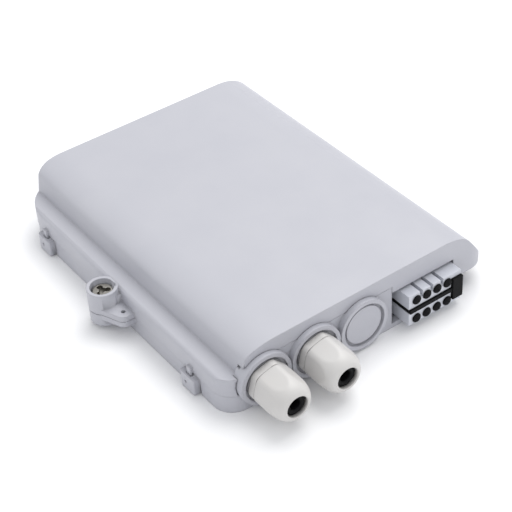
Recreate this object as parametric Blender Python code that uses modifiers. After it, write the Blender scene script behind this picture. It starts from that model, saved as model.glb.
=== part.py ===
"""Wall-mounted fiber termination box with eight drop outlets and two feeder glands.

The box lies on its wall face. X runs across the cable end, from the lock side to the
hinge side. Y runs along the box, away from the cable end. Z is the thickness, from the
wall face at zero to the cover. The origin is the middle of the wall face.
"""
import math

import bmesh
import bpy
from mathutils import Matrix, Vector

MM = 0.001

# Overall sizes of the closed box, without its ears and glands.
BOX_WIDTH = 190 * MM
BOX_LENGTH = 230 * MM
BOX_HEIGHT = 42 * MM
PLAN_CORNER_RADIUS = 14 * MM
BACK_CORNER_RADIUS = 28 * MM
FIT_GAP = 0.3 * MM
CUT_MARGIN = 4 * MM
SEAM_HEIGHT = 12.5 * MM

# Cover: a long profile with a ledge on the lock side and a slope on the hinge side.
COVER_WALL = 2.2 * MM
LEDGE_HEIGHT = 25 * MM
LEDGE_WIDTH = 11.6 * MM
LEDGE_CORNER_RADIUS = 2.6 * MM
SHOULDER_INSET = 14 * MM
SHOULDER_WIDTH = 22 * MM
SHOULDER_DROP = 7 * MM
HINGE_SHOULDER_WIDTH = 22 * MM
HINGE_SHOULDER_DROP = 10 * MM
HINGE_SHOULDER_START = 37.4 * MM
HINGE_OVERHANG = 5 * MM
HINGE_SLOPE = 1.37
HINGE_TIP_WIDTH = 1.6 * MM
COVER_FRONT_OPENING_HEIGHT = 31.8 * MM
COVER_DROP_OPENING_HEIGHT = 27.4 * MM
COVER_OPENING_MARGIN = 0.9 * MM
SEAL_SHELF_WIDTH = 7 * MM
SEAL_SHELF_THICKNESS = 2.2 * MM
STIFFENER_COUNT = 3
STIFFENER_DEPTH = 3 * MM
STIFFENER_WIDTH = 1.6 * MM
END_EDGE_RADIUS = 2.4 * MM

# Base: a shallow tray with a spigot that stands up inside the cover's skirt.
BASE_FLOOR = 2.4 * MM
BASE_WALL = 2.4 * MM
BASE_HINGE_INSET = 21 * MM
BASE_HINGE_CORNER_RADIUS = 10 * MM
SPIGOT_CLEARANCE = 0.5 * MM
SPIGOT_WALL = 2.4 * MM
SPIGOT_HEIGHT = 20 * MM
WALL_SCREW_RADIUS = 2.4 * MM
WALL_SCREW_INSET_X = 16 * MM
WALL_SCREW_INSET_Y = 30 * MM
FLOOR_RIB_HEIGHT = 3 * MM
FLOOR_RIB_WIDTH = 1.6 * MM

# Seals between the two shells.
GASKET_WIDTH = 2.8 * MM
GASKET_HEIGHT = 2.1 * MM

# Port wall across the cable end, with three round bosses.
PORT_WALL_THICKNESS = 5.4 * MM
PORT_WALL_HEIGHT = 31.4 * MM
PORT_WALL_STEP_HEIGHT = 29.2 * MM
PORT_WALL_STEP_DEPTH = 2.7 * MM
PORT_COUNT = 3
PORT_PITCH = 34.8 * MM
FIRST_PORT_INSET = 25.7 * MM
PORT_CENTRE_HEIGHT = 18.6 * MM
PORT_BOSS_RIM = 2.6 * MM
PORT_BOSS_DEPTH = 4.2 * MM
PORT_RECESS_CLEARANCE = 1.8 * MM
PORT_RECESS_DEPTH = 2.6 * MM
KNOCKOUT_GROOVE_WIDTH = 1.8 * MM
KNOCKOUT_GROOVE_DEPTH = 2.8 * MM
KNOCKOUT_FACE_DROP = 0.8 * MM
KNOCKOUT_WEB = 1 * MM
KNOCKOUT_POCKET_MARGIN = 1.1 * MM

# Cable glands: threaded body, flat washer, lock nut, rubber seal and dome nut.
GLAND_COUNT = 2
GLAND_THREAD_RADIUS = 10.1 * MM
GLAND_BORE_RADIUS = 7.3 * MM
GLAND_FLANGE_LEDGE = 1.9 * MM
GLAND_CROWN_RISE = 1.2 * MM
GLAND_FLANGE_THICKNESS = 4.6 * MM
GLAND_COLLET_STEP = 0.9 * MM
GLAND_COLLET_LENGTH = 12 * MM
GLAND_TAIL_LENGTH = 9.5 * MM
GLAND_WASHER_WIDTH = 2.4 * MM
GLAND_WASHER_THICKNESS = 1.5 * MM
LOCKNUT_WALL = 1.6 * MM
LOCKNUT_THICKNESS = 4.5 * MM
SEAL_LENGTH = 10 * MM
SEAL_CLEARANCE = 0.4 * MM
SEAL_BORE_RADIUS = 3.4 * MM
DOME_NUT_LENGTH = 23.4 * MM
DOME_NUT_CLEARANCE = 0.7 * MM
DOME_NUT_WALL = 2.3 * MM
DOME_NUT_CROWN_RISE = 1.2 * MM
DOME_NUT_HEX_LENGTH = 10.5 * MM
DOME_NUT_MOUTH_RADIUS = 6.9 * MM
DOME_NUT_LIP = 2.2 * MM
DOME_NUT_ROLL_END = 78

# Drop outlet block: two white halves that clamp a rubber strip and eight rubber bungs.
DROP_POCKET_START = 119 * MM
DROP_POCKET_FLOOR = 3.2 * MM
DROP_POCKET_WALL = 2 * MM
DROP_POCKET_DEPTH = 13 * MM
DROP_BLOCK_LEFT_GAP = 6.2 * MM
DROP_BLOCK_LENGTH = 23 * MM
DROP_BLOCK_PROUD = 8 * MM
DROP_COLUMNS = 4
DROP_PITCH = 7.9 * MM
DROP_FIRST_COLUMN = 5.6 * MM
DROP_LOWER_ROW = 7.2 * MM
DROP_UPPER_ROW = 21 * MM
DROP_BUNG_RADIUS = 2.5 * MM
DROP_BUNG_HEAD_RADIUS = 3.1 * MM
DROP_BUNG_HEAD = 2.2 * MM
DROP_BUNG_LENGTH = 9 * MM
DROP_BUNG_CROWN = 84
DROP_FINGER_GAP = 2.2 * MM
DROP_FINGER_LENGTH = 10.5 * MM
DROP_BLOCK_TOP = 25.4 * MM
DROP_SEAM_HEIGHT = 14.2 * MM
DROP_STRIP_THICKNESS = 2.6 * MM
DROP_STRIP_PROUD = 1.2 * MM
DROP_PAD_WIDTH = 7.2 * MM
DROP_PAD_DEPTH = 5 * MM
DROP_PAD_PROUD = 1.8 * MM
DROP_PAD_MARGIN = 3.4 * MM
DROP_RIGHT_MARGIN = 3.6 * MM

# Hinge side: two pins held in base knuckles, with one cover knuckle on each.
HINGE_AXIS_INSET = 8 * MM
HINGE_AXIS_HEIGHT = 8 * MM
HINGE_SPACING = 150 * MM
HINGE_KNUCKLE_RADIUS = 4 * MM
HINGE_COVER_KNUCKLE = 16 * MM
HINGE_BASE_KNUCKLE = 8 * MM
HINGE_PIN_RADIUS = 1.5 * MM
HINGE_PIN_CLEARANCE = 0.2 * MM
HINGE_KNUCKLE_GAP = 0.4 * MM
HINGE_WEB_START = 300

# Lock: a cup on the cover, an ear on the base, and a captive bolt between them.
LOCK_OFFSET = 7.5 * MM
LOCK_CUP_WALL = 2.1 * MM
LOCK_CUP_TOP = 26.4 * MM
LOCK_CUP_FLOOR = 17.5 * MM
LOCK_CUP_CLEARANCE = 0.9 * MM
LOCK_EAR_BOTTOM = 3.6 * MM
LOCK_WEB_INSET = 0.8 * MM
LOCK_BOLT_RADIUS = 3 * MM
LOCK_BOLT_CLEARANCE = 0.5 * MM
LOCK_HEAD_RIM = 3.2 * MM
LOCK_HEAD_THICKNESS = 4.6 * MM
LOCK_WASHER_RIM = 0.4 * MM
LOCK_WASHER_THICKNESS = 1 * MM
LOCK_KEY_LOBES = 3
LOCK_KEY_LOBE_RADIUS = 1.7 * MM
LOCK_KEY_LOBE_OFFSET = 3.1 * MM
LOCK_KEY_DEPTH = 2.6 * MM
LOCK_INSERT_WALL = 1.4 * MM
LOCK_INSERT_LENGTH = 7 * MM
LOCK_BOLT_REACH = 13 * MM
EYELET_RADIUS = 5.2 * MM
EYELET_HOLE_RADIUS = 1.4 * MM
EYELET_OFFSET_X = 4.4 * MM
EYELET_OFFSET_Y = 16.8 * MM
EYELET_TOP = 16.2 * MM
EYELET_BOTTOM = 8.4 * MM

# Snap lugs on the lock side, each with a slot for a tongue of the cover.
SNAP_SPACING = 162 * MM
SNAP_LENGTH = 14 * MM
SNAP_PROUD = 3.6 * MM
SNAP_TOP = 11.6 * MM
SNAP_TONGUE_LENGTH = 4 * MM
SNAP_TONGUE_WIDTH = 1.2 * MM
SNAP_TONGUE_DEPTH = 4.5 * MM
SNAP_DIMPLE_RADIUS = 1.1 * MM
SNAP_DIMPLE_OFFSET = 1.4 * MM
SNAP_DIMPLE_HEIGHT = 5.8 * MM
SNAP_END_SLOT = 1.4 * MM
SNAP_END_SLOT_DEPTH = 1.2 * MM

# Splice tray, hinged beside the hinge-side wall, over the base.
TRAY_WIDTH = 132 * MM
TRAY_LENGTH = 118 * MM
TRAY_CORNER_RADIUS = 10 * MM
TRAY_FLOOR_HEIGHT = 21 * MM
TRAY_FLOOR = 1.8 * MM
TRAY_WALL = 1.8 * MM
TRAY_DEPTH = 8.5 * MM
TRAY_CENTRE_Y = 46 * MM
TRAY_PIN_INSET = 7.5 * MM
TRAY_PIN_RADIUS = 1.2 * MM
TRAY_PIN_HEIGHT = 18 * MM
TRAY_KNUCKLE_RADIUS = 3 * MM
TRAY_KNUCKLE_LENGTH = 8 * MM
TRAY_POST_LENGTH = 7 * MM
TRAY_HINGE_SPACING = 84 * MM
TRAY_HUB_RADIUS = 20 * MM
TRAY_HUB_WALL = 1.6 * MM
TRAY_HUB_HEIGHT = 6 * MM
TRAY_HUB_SPACING = 62 * MM
TRAY_GATE_WIDTH = 16 * MM
TRAY_ARM_REACH = 9 * MM
TRAY_ARM_ROOT = 6 * MM
TRAY_ARM_DEPTH = 3.6 * MM

# Splice holder and heat-shrink splice sleeves on the tray.
SLEEVE_COUNT = 8
SLEEVE_RADIUS = 1.5 * MM
SLEEVE_LENGTH = 45 * MM
SLEEVE_PITCH = 4 * MM
HOLDER_LENGTH = 26 * MM
HOLDER_HEIGHT = 3.6 * MM
HOLDER_MARGIN = 2 * MM
SLEEVE_BITE = 0.8 * MM

# Adapter row between the splice side and the drop side.
ADAPTER_COUNT = 8
ADAPTER_PITCH = 10.6 * MM
ADAPTER_WIDTH = 9.3 * MM
ADAPTER_HEIGHT = 12.8 * MM
ADAPTER_LENGTH = 27 * MM
ADAPTER_CELL_WIDTH = 7 * MM
ADAPTER_CELL_HEIGHT = 9.4 * MM
ADAPTER_FLANGE_HEIGHT = 15.4 * MM
ADAPTER_FLANGE_THICKNESS = 2 * MM
ADAPTER_FLOOR_GAP = 1.6 * MM
ADAPTER_ROW_X = -26 * MM
ADAPTER_ROW_Y = -54 * MM
BRACKET_THICKNESS = 1.2 * MM
BRACKET_MARGIN = 6 * MM
BRACKET_FOOT = 8 * MM

# Splitter module and cable clamps on the base floor.
SPLITTER_WIDTH = 60 * MM
SPLITTER_DEPTH = 12 * MM
SPLITTER_HEIGHT = 4 * MM
SPLITTER_CENTRE_Y = 6 * MM
CLAMP_LENGTH = 9 * MM
CLAMP_WIDTH = 27 * MM
CLAMP_HEIGHT = 6 * MM
CLAMP_TUNNEL_RADIUS = 5 * MM
CLAMP_DISTANCE = 26 * MM
CLAMP_BOSS_RADIUS = 3.6 * MM
CLAMP_BOSS_HEIGHT = 11 * MM
CLAMP_SCREW_SPACING = 19 * MM
SCREW_RADIUS = 1.5 * MM
SCREW_HEAD_RADIUS = 2.9 * MM
SCREW_HEAD_HEIGHT = 2 * MM
SCREW_LENGTH = 9 * MM
SCREW_SLOT_WIDTH = 0.8 * MM

# Facets used for round pieces.
ROUND_STEPS = 24
FINE_STEPS = 32
SMALL_STEPS = 12
CORNER_STEPS = 9
SHOULDER_STEPS = 12
END_EDGE_STEPS = 4
SMOOTH_ANGLE = math.radians(35)
FLAT_ANGLE = math.radians(0.5)

# Sizes that follow from the pieces they hold.
HINGE_BORE_RADIUS = HINGE_PIN_RADIUS + HINGE_PIN_CLEARANCE
GLAND_HOLE_RADIUS = GLAND_THREAD_RADIUS + FIT_GAP
GLAND_FLANGE_FLATS = 2 * (GLAND_THREAD_RADIUS + GLAND_FLANGE_LEDGE)
GLAND_FLANGE_CROWN = GLAND_FLANGE_FLATS / 2 + GLAND_CROWN_RISE
GLAND_COLLET_RADIUS = GLAND_THREAD_RADIUS - GLAND_COLLET_STEP
GLAND_WASHER_RADIUS = GLAND_HOLE_RADIUS + GLAND_WASHER_WIDTH
LOCKNUT_FLATS = 2 * (GLAND_HOLE_RADIUS + LOCKNUT_WALL)
SEAL_RADIUS = GLAND_BORE_RADIUS - SEAL_CLEARANCE
DOME_NUT_WALL_RADIUS = GLAND_COLLET_RADIUS + DOME_NUT_CLEARANCE
DOME_NUT_FLATS = 2 * (DOME_NUT_WALL_RADIUS + DOME_NUT_WALL)
DOME_NUT_CROWN = DOME_NUT_FLATS / 2 + DOME_NUT_CROWN_RISE
PORT_RECESS_RADIUS = GLAND_WASHER_RADIUS + PORT_RECESS_CLEARANCE
PORT_BOSS_RADIUS = PORT_RECESS_RADIUS + PORT_BOSS_RIM
LOCK_HEAD_RADIUS = LOCK_BOLT_RADIUS + LOCK_HEAD_RIM
LOCK_WASHER_RADIUS = LOCK_HEAD_RADIUS + LOCK_WASHER_RIM
LOCK_CUP_BORE = LOCK_WASHER_RADIUS + LOCK_CUP_CLEARANCE
LOCK_CUP_RADIUS = LOCK_CUP_BORE + LOCK_CUP_WALL
LOCK_EAR_RADIUS = LOCK_CUP_RADIUS
LOCK_WEB_RADIUS = LOCK_CUP_RADIUS - LOCK_WEB_INSET
LOCK_INSERT_RADIUS = LOCK_BOLT_RADIUS + LOCK_BOLT_CLEARANCE + LOCK_INSERT_WALL

# Places that follow from the sizes.
LEFT = -BOX_WIDTH / 2
RIGHT = BOX_WIDTH / 2 + HINGE_OVERHANG
FRONT = -BOX_LENGTH / 2
BACK = BOX_LENGTH / 2
BASE_RIGHT = RIGHT - BASE_HINGE_INSET
BASE_OUTSIDE = FIT_GAP
HINGE_X = RIGHT - HINGE_AXIS_INSET
HINGE_SIDES = (-1, 1)
LOCK_X = LEFT - LOCK_OFFSET
PORT_FACE_Y = FRONT + FIT_GAP
PORT_BACK_Y = PORT_FACE_Y + PORT_WALL_THICKNESS
PORT_BOSS_Y = PORT_FACE_Y - PORT_BOSS_DEPTH
PORT_SEAT_Y = PORT_BOSS_Y + PORT_RECESS_DEPTH
SPIGOT_INSET = COVER_WALL + SPIGOT_CLEARANCE
INNER_INSET = SPIGOT_INSET + SPIGOT_WALL
POCKET_X = LEFT + DROP_POCKET_START
DROP_BLOCK_X = POCKET_X + DROP_BLOCK_LEFT_GAP
DROP_BLOCK_RIGHT = BASE_RIGHT - INNER_INSET - DROP_RIGHT_MARGIN
DROP_FRONT_Y = PORT_FACE_Y - DROP_BLOCK_PROUD
GASKET_END_Y = FRONT + PLAN_CORNER_RADIUS + CUT_MARGIN
PORT_WALL_LEFT = LEFT + LEDGE_WIDTH + COVER_WALL + FIT_GAP
TRAY_RIGHT = BASE_RIGHT - INNER_INSET - TRAY_PIN_INSET
TRAY_LEFT = TRAY_RIGHT - TRAY_WIDTH
TRAY_FRONT = TRAY_CENTRE_Y - TRAY_LENGTH / 2
TRAY_BACK = TRAY_CENTRE_Y + TRAY_LENGTH / 2
TRAY_PIN_X = TRAY_RIGHT

AXIS_TURNS = {
    "X": Matrix.Rotation(math.radians(90), 4, "Y"),
    "Y": Matrix.Rotation(math.radians(-90), 4, "X"),
    "-Y": Matrix.Rotation(math.radians(90), 4, "X"),
    "Z": Matrix.Identity(4),
}


def clear_scene():
    """Remove whatever the file held before."""
    for old in list(bpy.data.objects):
        bpy.data.objects.remove(old, do_unlink=True)


def make_collection(name):
    """Add a collection to the scene."""
    collection = bpy.data.collections.new(name)
    bpy.context.scene.collection.children.link(collection)
    return collection


clear_scene()
PARTS = make_collection("fiber_termination_box")
TOOLS = make_collection("shaping_tools")


def material(name, colour, roughness, metallic=0.0):
    """Make a plain Principled material."""
    result = bpy.data.materials.new(name)
    result.use_nodes = True
    shader = result.node_tree.nodes["Principled BSDF"]
    shader.inputs["Base Color"].default_value = (*colour, 1.0)
    shader.inputs["Roughness"].default_value = roughness
    shader.inputs["Metallic"].default_value = metallic
    return result


SHELL_GREY = material("shell_grey", (0.62, 0.62, 0.67), 0.45)
GLAND_WHITE = material("gland_white", (0.76, 0.75, 0.72), 0.4)
OUTLET_WHITE = material("outlet_white", (0.78, 0.8, 0.84), 0.4)
SEAL_BLACK = material("seal_black", (0.02, 0.02, 0.022), 0.75)
GASKET_GREY = material("gasket_grey", (0.12, 0.12, 0.13), 0.8)
PIN_STEEL = material("pin_steel", (0.6, 0.6, 0.6), 0.3, 1.0)
BOLT_STEEL = material("bolt_steel", (0.25, 0.24, 0.22), 0.35, 1.0)
INSERT_BRASS = material("insert_brass", (0.7, 0.5, 0.22), 0.3, 1.0)
TRAY_WHITE = material("tray_white", (0.7, 0.72, 0.74), 0.5)
ADAPTER_BLUE = material("adapter_blue", (0.02, 0.14, 0.5), 0.4)
SLEEVE_CLEAR = material("sleeve_clear", (0.8, 0.8, 0.78), 0.2)


def add_object(name, mesh, collection):
    """Put a mesh in a collection as a new object."""
    result = bpy.data.objects.new(name, mesh)
    collection.objects.link(result)
    return result


def shade_round(target):
    """Shade curved walls smooth and keep real edges sharp."""
    target.data.shade_smooth()
    target.data.set_sharp_from_angle(angle=SMOOTH_ANGLE)
    return target


def finish(target, surface):
    """Turn a shaped object into a finished part with its material."""
    target.data.materials.clear()
    target.data.materials.append(surface)
    shade_round(target)
    TOOLS.objects.unlink(target)
    PARTS.objects.link(target)
    target.hide_render = False
    target.display_type = "SOLID"
    return target


def block(name, low, high):
    """A box between two corners, with its origin at its centre."""
    low = Vector(low)
    high = Vector(high)
    shape = bmesh.new()
    bmesh.ops.create_cube(shape, size=1)
    size = high - low
    bmesh.ops.scale(shape, vec=size, verts=shape.verts)
    mesh = bpy.data.meshes.new(name)
    shape.to_mesh(mesh)
    shape.free()
    result = add_object(name, mesh, TOOLS)
    result.location = (low + high) / 2
    result.hide_render = True
    result.display_type = "WIRE"
    return result


def rod(name, centre, radius, length, axis="Z", steps=ROUND_STEPS, turn=0.0):
    """A cylinder, or a prism with few steps, about its centre."""
    shape = bmesh.new()
    bmesh.ops.create_cone(shape, cap_ends=True, segments=steps, radius1=radius,
                          radius2=radius, depth=length,
                          matrix=Matrix.Rotation(turn, 4, "Z"))
    mesh = bpy.data.meshes.new(name)
    shape.to_mesh(mesh)
    shape.free()
    result = add_object(name, mesh, TOOLS)
    result.matrix_world = Matrix.Translation(Vector(centre)) @ AXIS_TURNS[axis]
    result.hide_render = True
    result.display_type = "WIRE"
    return result


def hexagon(name, centre, flats, length, axis):
    """A hexagonal prism, measured across its flats."""
    return rod(name, centre, flats / math.sqrt(3), length, axis, 6, math.radians(30))


def turned(name, profile, centre, axis="Z", steps=ROUND_STEPS):
    """A ring turned from a closed profile of (radius, height), outer side first, downwards."""
    count = len(profile)
    mesh = bpy.data.meshes.new(name)
    points = [(radius, 0.0, height) for radius, height in profile]
    edges = [(index, (index + 1) % count) for index in range(count)]
    mesh.from_pydata(points, edges, [])
    result = add_object(name, mesh, TOOLS)
    screw = result.modifiers.new("turn", "SCREW")
    screw.steps = steps
    screw.render_steps = steps
    screw.use_merge_vertices = True
    screw.merge_threshold = 0.00001
    screw.use_smooth_shade = False
    result.matrix_world = Matrix.Translation(Vector(centre)) @ AXIS_TURNS[axis]
    bpy.context.view_layer.update()
    fixed = bpy.data.meshes.new_from_object(
        result.evaluated_get(bpy.context.evaluated_depsgraph_get()))
    result.modifiers.clear()
    result.data = fixed
    bpy.data.meshes.remove(mesh)
    result.hide_render = True
    result.display_type = "WIRE"
    return result


def plate(name, outline, thickness, place):
    """A flat closed outline of (x, y) points, thickened both ways and made a mesh."""
    curve = bpy.data.curves.new(name, "CURVE")
    curve.dimensions = "2D"
    curve.fill_mode = "BOTH"
    curve.extrude = thickness / 2
    curve.resolution_u = 1
    curve.render_resolution_u = 0
    spline = curve.splines.new("POLY")
    spline.points.add(len(outline) - 1)
    for point, (x, y) in zip(spline.points, outline):
        point.co = (x, y, 0.0, 1.0)
    spline.use_cyclic_u = True
    drawn = bpy.data.objects.new(name + "_outline", curve)
    TOOLS.objects.link(drawn)
    drawn.matrix_world = place
    bpy.context.view_layer.update()
    mesh = bpy.data.meshes.new_from_object(
        drawn.evaluated_get(bpy.context.evaluated_depsgraph_get()))
    shape = bmesh.new()
    shape.from_mesh(mesh)
    bmesh.ops.remove_doubles(shape, verts=shape.verts, dist=0.000005)
    bmesh.ops.recalc_face_normals(shape, faces=shape.faces)
    shape.to_mesh(mesh)
    shape.free()
    result = add_object(name, mesh, TOOLS)
    result.matrix_world = place
    bpy.data.objects.remove(drawn, do_unlink=True)
    bpy.data.curves.remove(curve)
    result.hide_render = True
    result.display_type = "WIRE"
    return result


def slab(name, outline, bottom, top):
    """A plate that lies flat between two heights."""
    middle = Matrix.Translation((0, 0, (bottom + top) / 2))
    return plate(name, outline, top - bottom, middle)


def combine(target, tool, operation):
    """Add, cut or keep the shared part of two solids."""
    step = target.modifiers.new(tool.name, "BOOLEAN")
    step.operation = operation
    step.solver = "EXACT"
    step.object = tool
    return target


def cut(target, *tools):
    """Cut every tool out of the target."""
    for tool in tools:
        combine(target, tool, "DIFFERENCE")
    return target


def fuse(target, *tools):
    """Join every tool to the target."""
    for tool in tools:
        combine(target, tool, "UNION")
    return target


def arc(centre, radii, start, end, steps):
    """Points on an ellipse's arc, with angles in degrees."""
    points = []
    for index in range(steps + 1):
        angle = math.radians(start + (end - start) * index / steps)
        points.append((centre[0] + radii[0] * math.cos(angle),
                       centre[1] + radii[1] * math.sin(angle)))
    return points


def rounded_outline(left, front, right, back, left_radius, right_radius, back_radii=None):
    """A rectangle with one corner radius on each side, counter-clockwise.

    Its two back corners, left and right, may have radii of their own.
    """
    back_left, back_right = back_radii or (left_radius, right_radius)
    corners = (
        ((right - right_radius, front + right_radius), right_radius, -90),
        ((right - back_right, back - back_right), back_right, 0),
        ((left + back_left, back - back_left), back_left, 90),
        ((left + left_radius, front + left_radius), left_radius, 180),
    )
    points = []
    for centre, radius, start in corners:
        points += arc(centre, (radius, radius), start, start + 90, CORNER_STEPS)
    return points


def shell_outline(inset, hinge_side):
    """The box's plan outline, moved in by an inset, up to the given hinge side."""
    side_radius = BASE_HINGE_CORNER_RADIUS if hinge_side < RIGHT else PLAN_CORNER_RADIUS
    back_side = BASE_HINGE_CORNER_RADIUS if hinge_side < RIGHT else BACK_CORNER_RADIUS
    return rounded_outline(LEFT + inset, FRONT + inset, hinge_side - inset, BACK - inset,
                           PLAN_CORNER_RADIUS - inset, side_radius - inset,
                           (BACK_CORNER_RADIUS - inset, back_side - inset))


def cover_profile(inset, bottom):
    """The cover's cross-section as (x, z), moved in by an inset and open at the bottom."""
    ledge_top = LEDGE_HEIGHT - inset
    corner = max(LEDGE_CORNER_RADIUS - inset, FIT_GAP)
    top = BOX_HEIGHT - inset
    foot = LEFT + LEDGE_WIDTH + inset
    shoulder = LEFT + SHOULDER_INSET + inset
    shoulder_radii = (SHOULDER_WIDTH - inset, SHOULDER_DROP - inset)
    shoulder_centre = (shoulder + shoulder_radii[0], top - shoulder_radii[1])
    hinge_radii = (HINGE_SHOULDER_WIDTH - inset, HINGE_SHOULDER_DROP - inset)
    hinge_centre = (RIGHT - HINGE_SHOULDER_START, top - hinge_radii[1])
    lean = math.degrees(math.atan(hinge_radii[1] / hinge_radii[0] / HINGE_SLOPE))
    points = [(LEFT + inset, bottom)]
    points += arc((LEFT + inset + corner, ledge_top - corner), (corner, corner),
                  180, 90, CORNER_STEPS - 2)
    points.append((foot, ledge_top))
    points += arc(shoulder_centre, shoulder_radii, 180, 90, SHOULDER_STEPS)
    points += arc(hinge_centre, hinge_radii, 90, lean, SHOULDER_STEPS)
    slope_start = points[-1]
    tip_x = RIGHT - HINGE_TIP_WIDTH - inset
    tip_z = slope_start[1] - (tip_x - slope_start[0]) * HINGE_SLOPE
    points.append((tip_x, tip_z))
    points.append((RIGHT - inset, tip_z - HINGE_TIP_WIDTH * HINGE_SLOPE))
    points.append((RIGHT - inset, bottom))
    return points


def long_solid(name, profile, length):
    """A profile of (x, z) carried along Y, centred on the origin."""
    stand = Matrix(((1, 0, 0, 0), (0, 0, -1, 0), (0, 1, 0, 0), (0, 0, 0, 1)))
    return plate(name, profile, length, stand)


def round_ends(body, floor):
    """Round the edges of a long solid's two ends, above a floor height."""
    shape = bmesh.new()
    shape.from_mesh(body.data)
    bmesh.ops.dissolve_limit(shape, angle_limit=FLAT_ANGLE, verts=shape.verts,
                             edges=shape.edges)
    place = body.matrix_world
    end = BOX_LENGTH / 2 - FIT_GAP
    edges = []
    for edge in shape.edges:
        corners = [place @ point.co for point in edge.verts]
        at_end = min(abs(corner.y) for corner in corners) > end
        above = max(corner.z for corner in corners) > floor + FIT_GAP
        if at_end and above and edge.calc_face_angle(0) > SMOOTH_ANGLE:
            edges.append(edge)
    bmesh.ops.bevel(shape, geom=edges, offset=END_EDGE_RADIUS, offset_type="OFFSET",
                    segments=END_EDGE_STEPS, profile=0.5, affect="EDGES",
                    clamp_overlap=True)
    shape.to_mesh(body.data)
    shape.free()
    return body


def cover_solid(name, inset, bottom):
    """The cover as a filled solid, with rounded plan corners."""
    body = long_solid(name, cover_profile(inset, bottom), BOX_LENGTH - 2 * inset)
    if inset == 0:
        round_ends(body, bottom)
    plan = slab(name + "_plan", shell_outline(inset, RIGHT), bottom - CUT_MARGIN,
                BOX_HEIGHT + CUT_MARGIN)
    return combine(body, plan, "INTERSECT")


def port_positions():
    """The X places of the round ports."""
    return [LEFT + FIRST_PORT_INSET + PORT_PITCH * index for index in range(PORT_COUNT)]


def knuckle(name, centre_x, centre_y, height, length, radius):
    """One hinge knuckle about an axis along Y."""
    return rod(name, (centre_x, centre_y, height), radius, length, "Y", SMALL_STEPS)


def lobe_outline(centre, radius, wall, steps):
    """A round end that runs straight into a wall, on whichever side the wall is."""
    outward = 90 if wall > centre[0] else -90
    points = arc(centre, (radius, radius), outward, outward + 180, steps)
    points.append((wall, points[-1][1]))
    points.append((wall, points[0][1]))
    return points


def eyelet_plate(name, bottom, top):
    """A flat plate that joins the round lock to the smaller round eyelet beside it."""
    big = (LOCK_X, 0.0)
    small = (LEFT - EYELET_OFFSET_X, -EYELET_OFFSET_Y)
    reach = math.dist(big, small)
    lean = math.atan2(small[1] - big[1], small[0] - big[0])
    shrink = math.acos((LOCK_WEB_RADIUS - EYELET_RADIUS) / reach)
    touch = math.degrees(lean - shrink) + 360
    wall = LEFT + COVER_WALL - FIT_GAP
    outline = arc(big, (LOCK_WEB_RADIUS, LOCK_WEB_RADIUS), 90, touch, SMALL_STEPS)
    outline += arc(small, (EYELET_RADIUS, EYELET_RADIUS), touch, 270, CORNER_STEPS)
    outline += [(wall, small[1] - EYELET_RADIUS), (wall, big[1] + LOCK_WEB_RADIUS)]
    return slab(name, outline, bottom, top)


def side_lobe(name, centre_y, offset, radius, bottom, top):
    """A lobe that stands out of the lock side, between two heights."""
    outline = lobe_outline((LEFT - offset, centre_y), radius,
                           LEFT + COVER_WALL - FIT_GAP, SMALL_STEPS)
    return slab(name, outline, bottom, top)


def across(name, outline, centre_y, length):
    """An outline of (x, z) points made into a solid along Y, about a middle."""
    solid = long_solid(name, outline, length)
    solid.location.y = centre_y
    return solid


def make_cover():
    """The cover shell with its seal shelf, knuckles, lock cup and snap tongues."""
    cover = cover_solid("cover_shell", 0.0, SEAM_HEIGHT)
    cut(cover, cover_solid("cover_cavity", COVER_WALL, SEAM_HEIGHT - CUT_MARGIN))
    add_seal_shelf(cover)
    add_stiffeners(cover)
    add_cover_lock(cover)
    open_front(cover)
    for side in HINGE_SIDES:
        add_cover_knuckle(cover, side)
        add_snap_tongue(cover, side)
    return finish(cover, SHELL_GREY)


def add_cover_lock(cover):
    """The round cup for the lock bolt and the eyelet for a seal wire."""
    bottom = SEAM_HEIGHT
    web_top = LEDGE_HEIGHT - LEDGE_CORNER_RADIUS
    web_radius = LOCK_WEB_RADIUS - FIT_GAP
    cup = rod("lock_cup", (LOCK_X, 0, (bottom + LOCK_CUP_TOP) / 2), LOCK_CUP_RADIUS,
              LOCK_CUP_TOP - bottom, steps=FINE_STEPS)
    edge = block("lock_cup_edge", (LOCK_X - BOX_WIDTH, -BOX_WIDTH, 0),
                 (LEFT + COVER_WALL / 2, BOX_WIDTH, BOX_HEIGHT))
    combine(cup, edge, "INTERSECT")
    web = side_lobe("lock_cup_web", 0, LOCK_OFFSET, web_radius, bottom + FIT_GAP, web_top)
    fuse(cover, eyelet_plate("cover_eyelet", bottom, EYELET_TOP), web, cup)
    depth = LOCK_CUP_TOP - LOCK_CUP_FLOOR
    cut(cover,
        rod("lock_cup_bore", (LOCK_X, 0, LOCK_CUP_FLOOR + (depth + CUT_MARGIN) / 2),
            LOCK_CUP_BORE, depth + CUT_MARGIN),
        rod("lock_shank_bore", (LOCK_X, 0, bottom), LOCK_BOLT_RADIUS + LOCK_BOLT_CLEARANCE,
            LOCK_CUP_TOP, steps=SMALL_STEPS),
        rod("cover_eyelet_hole", (LEFT - EYELET_OFFSET_X, -EYELET_OFFSET_Y, EYELET_TOP),
            EYELET_HOLE_RADIUS, BOX_HEIGHT, steps=SMALL_STEPS))


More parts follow.
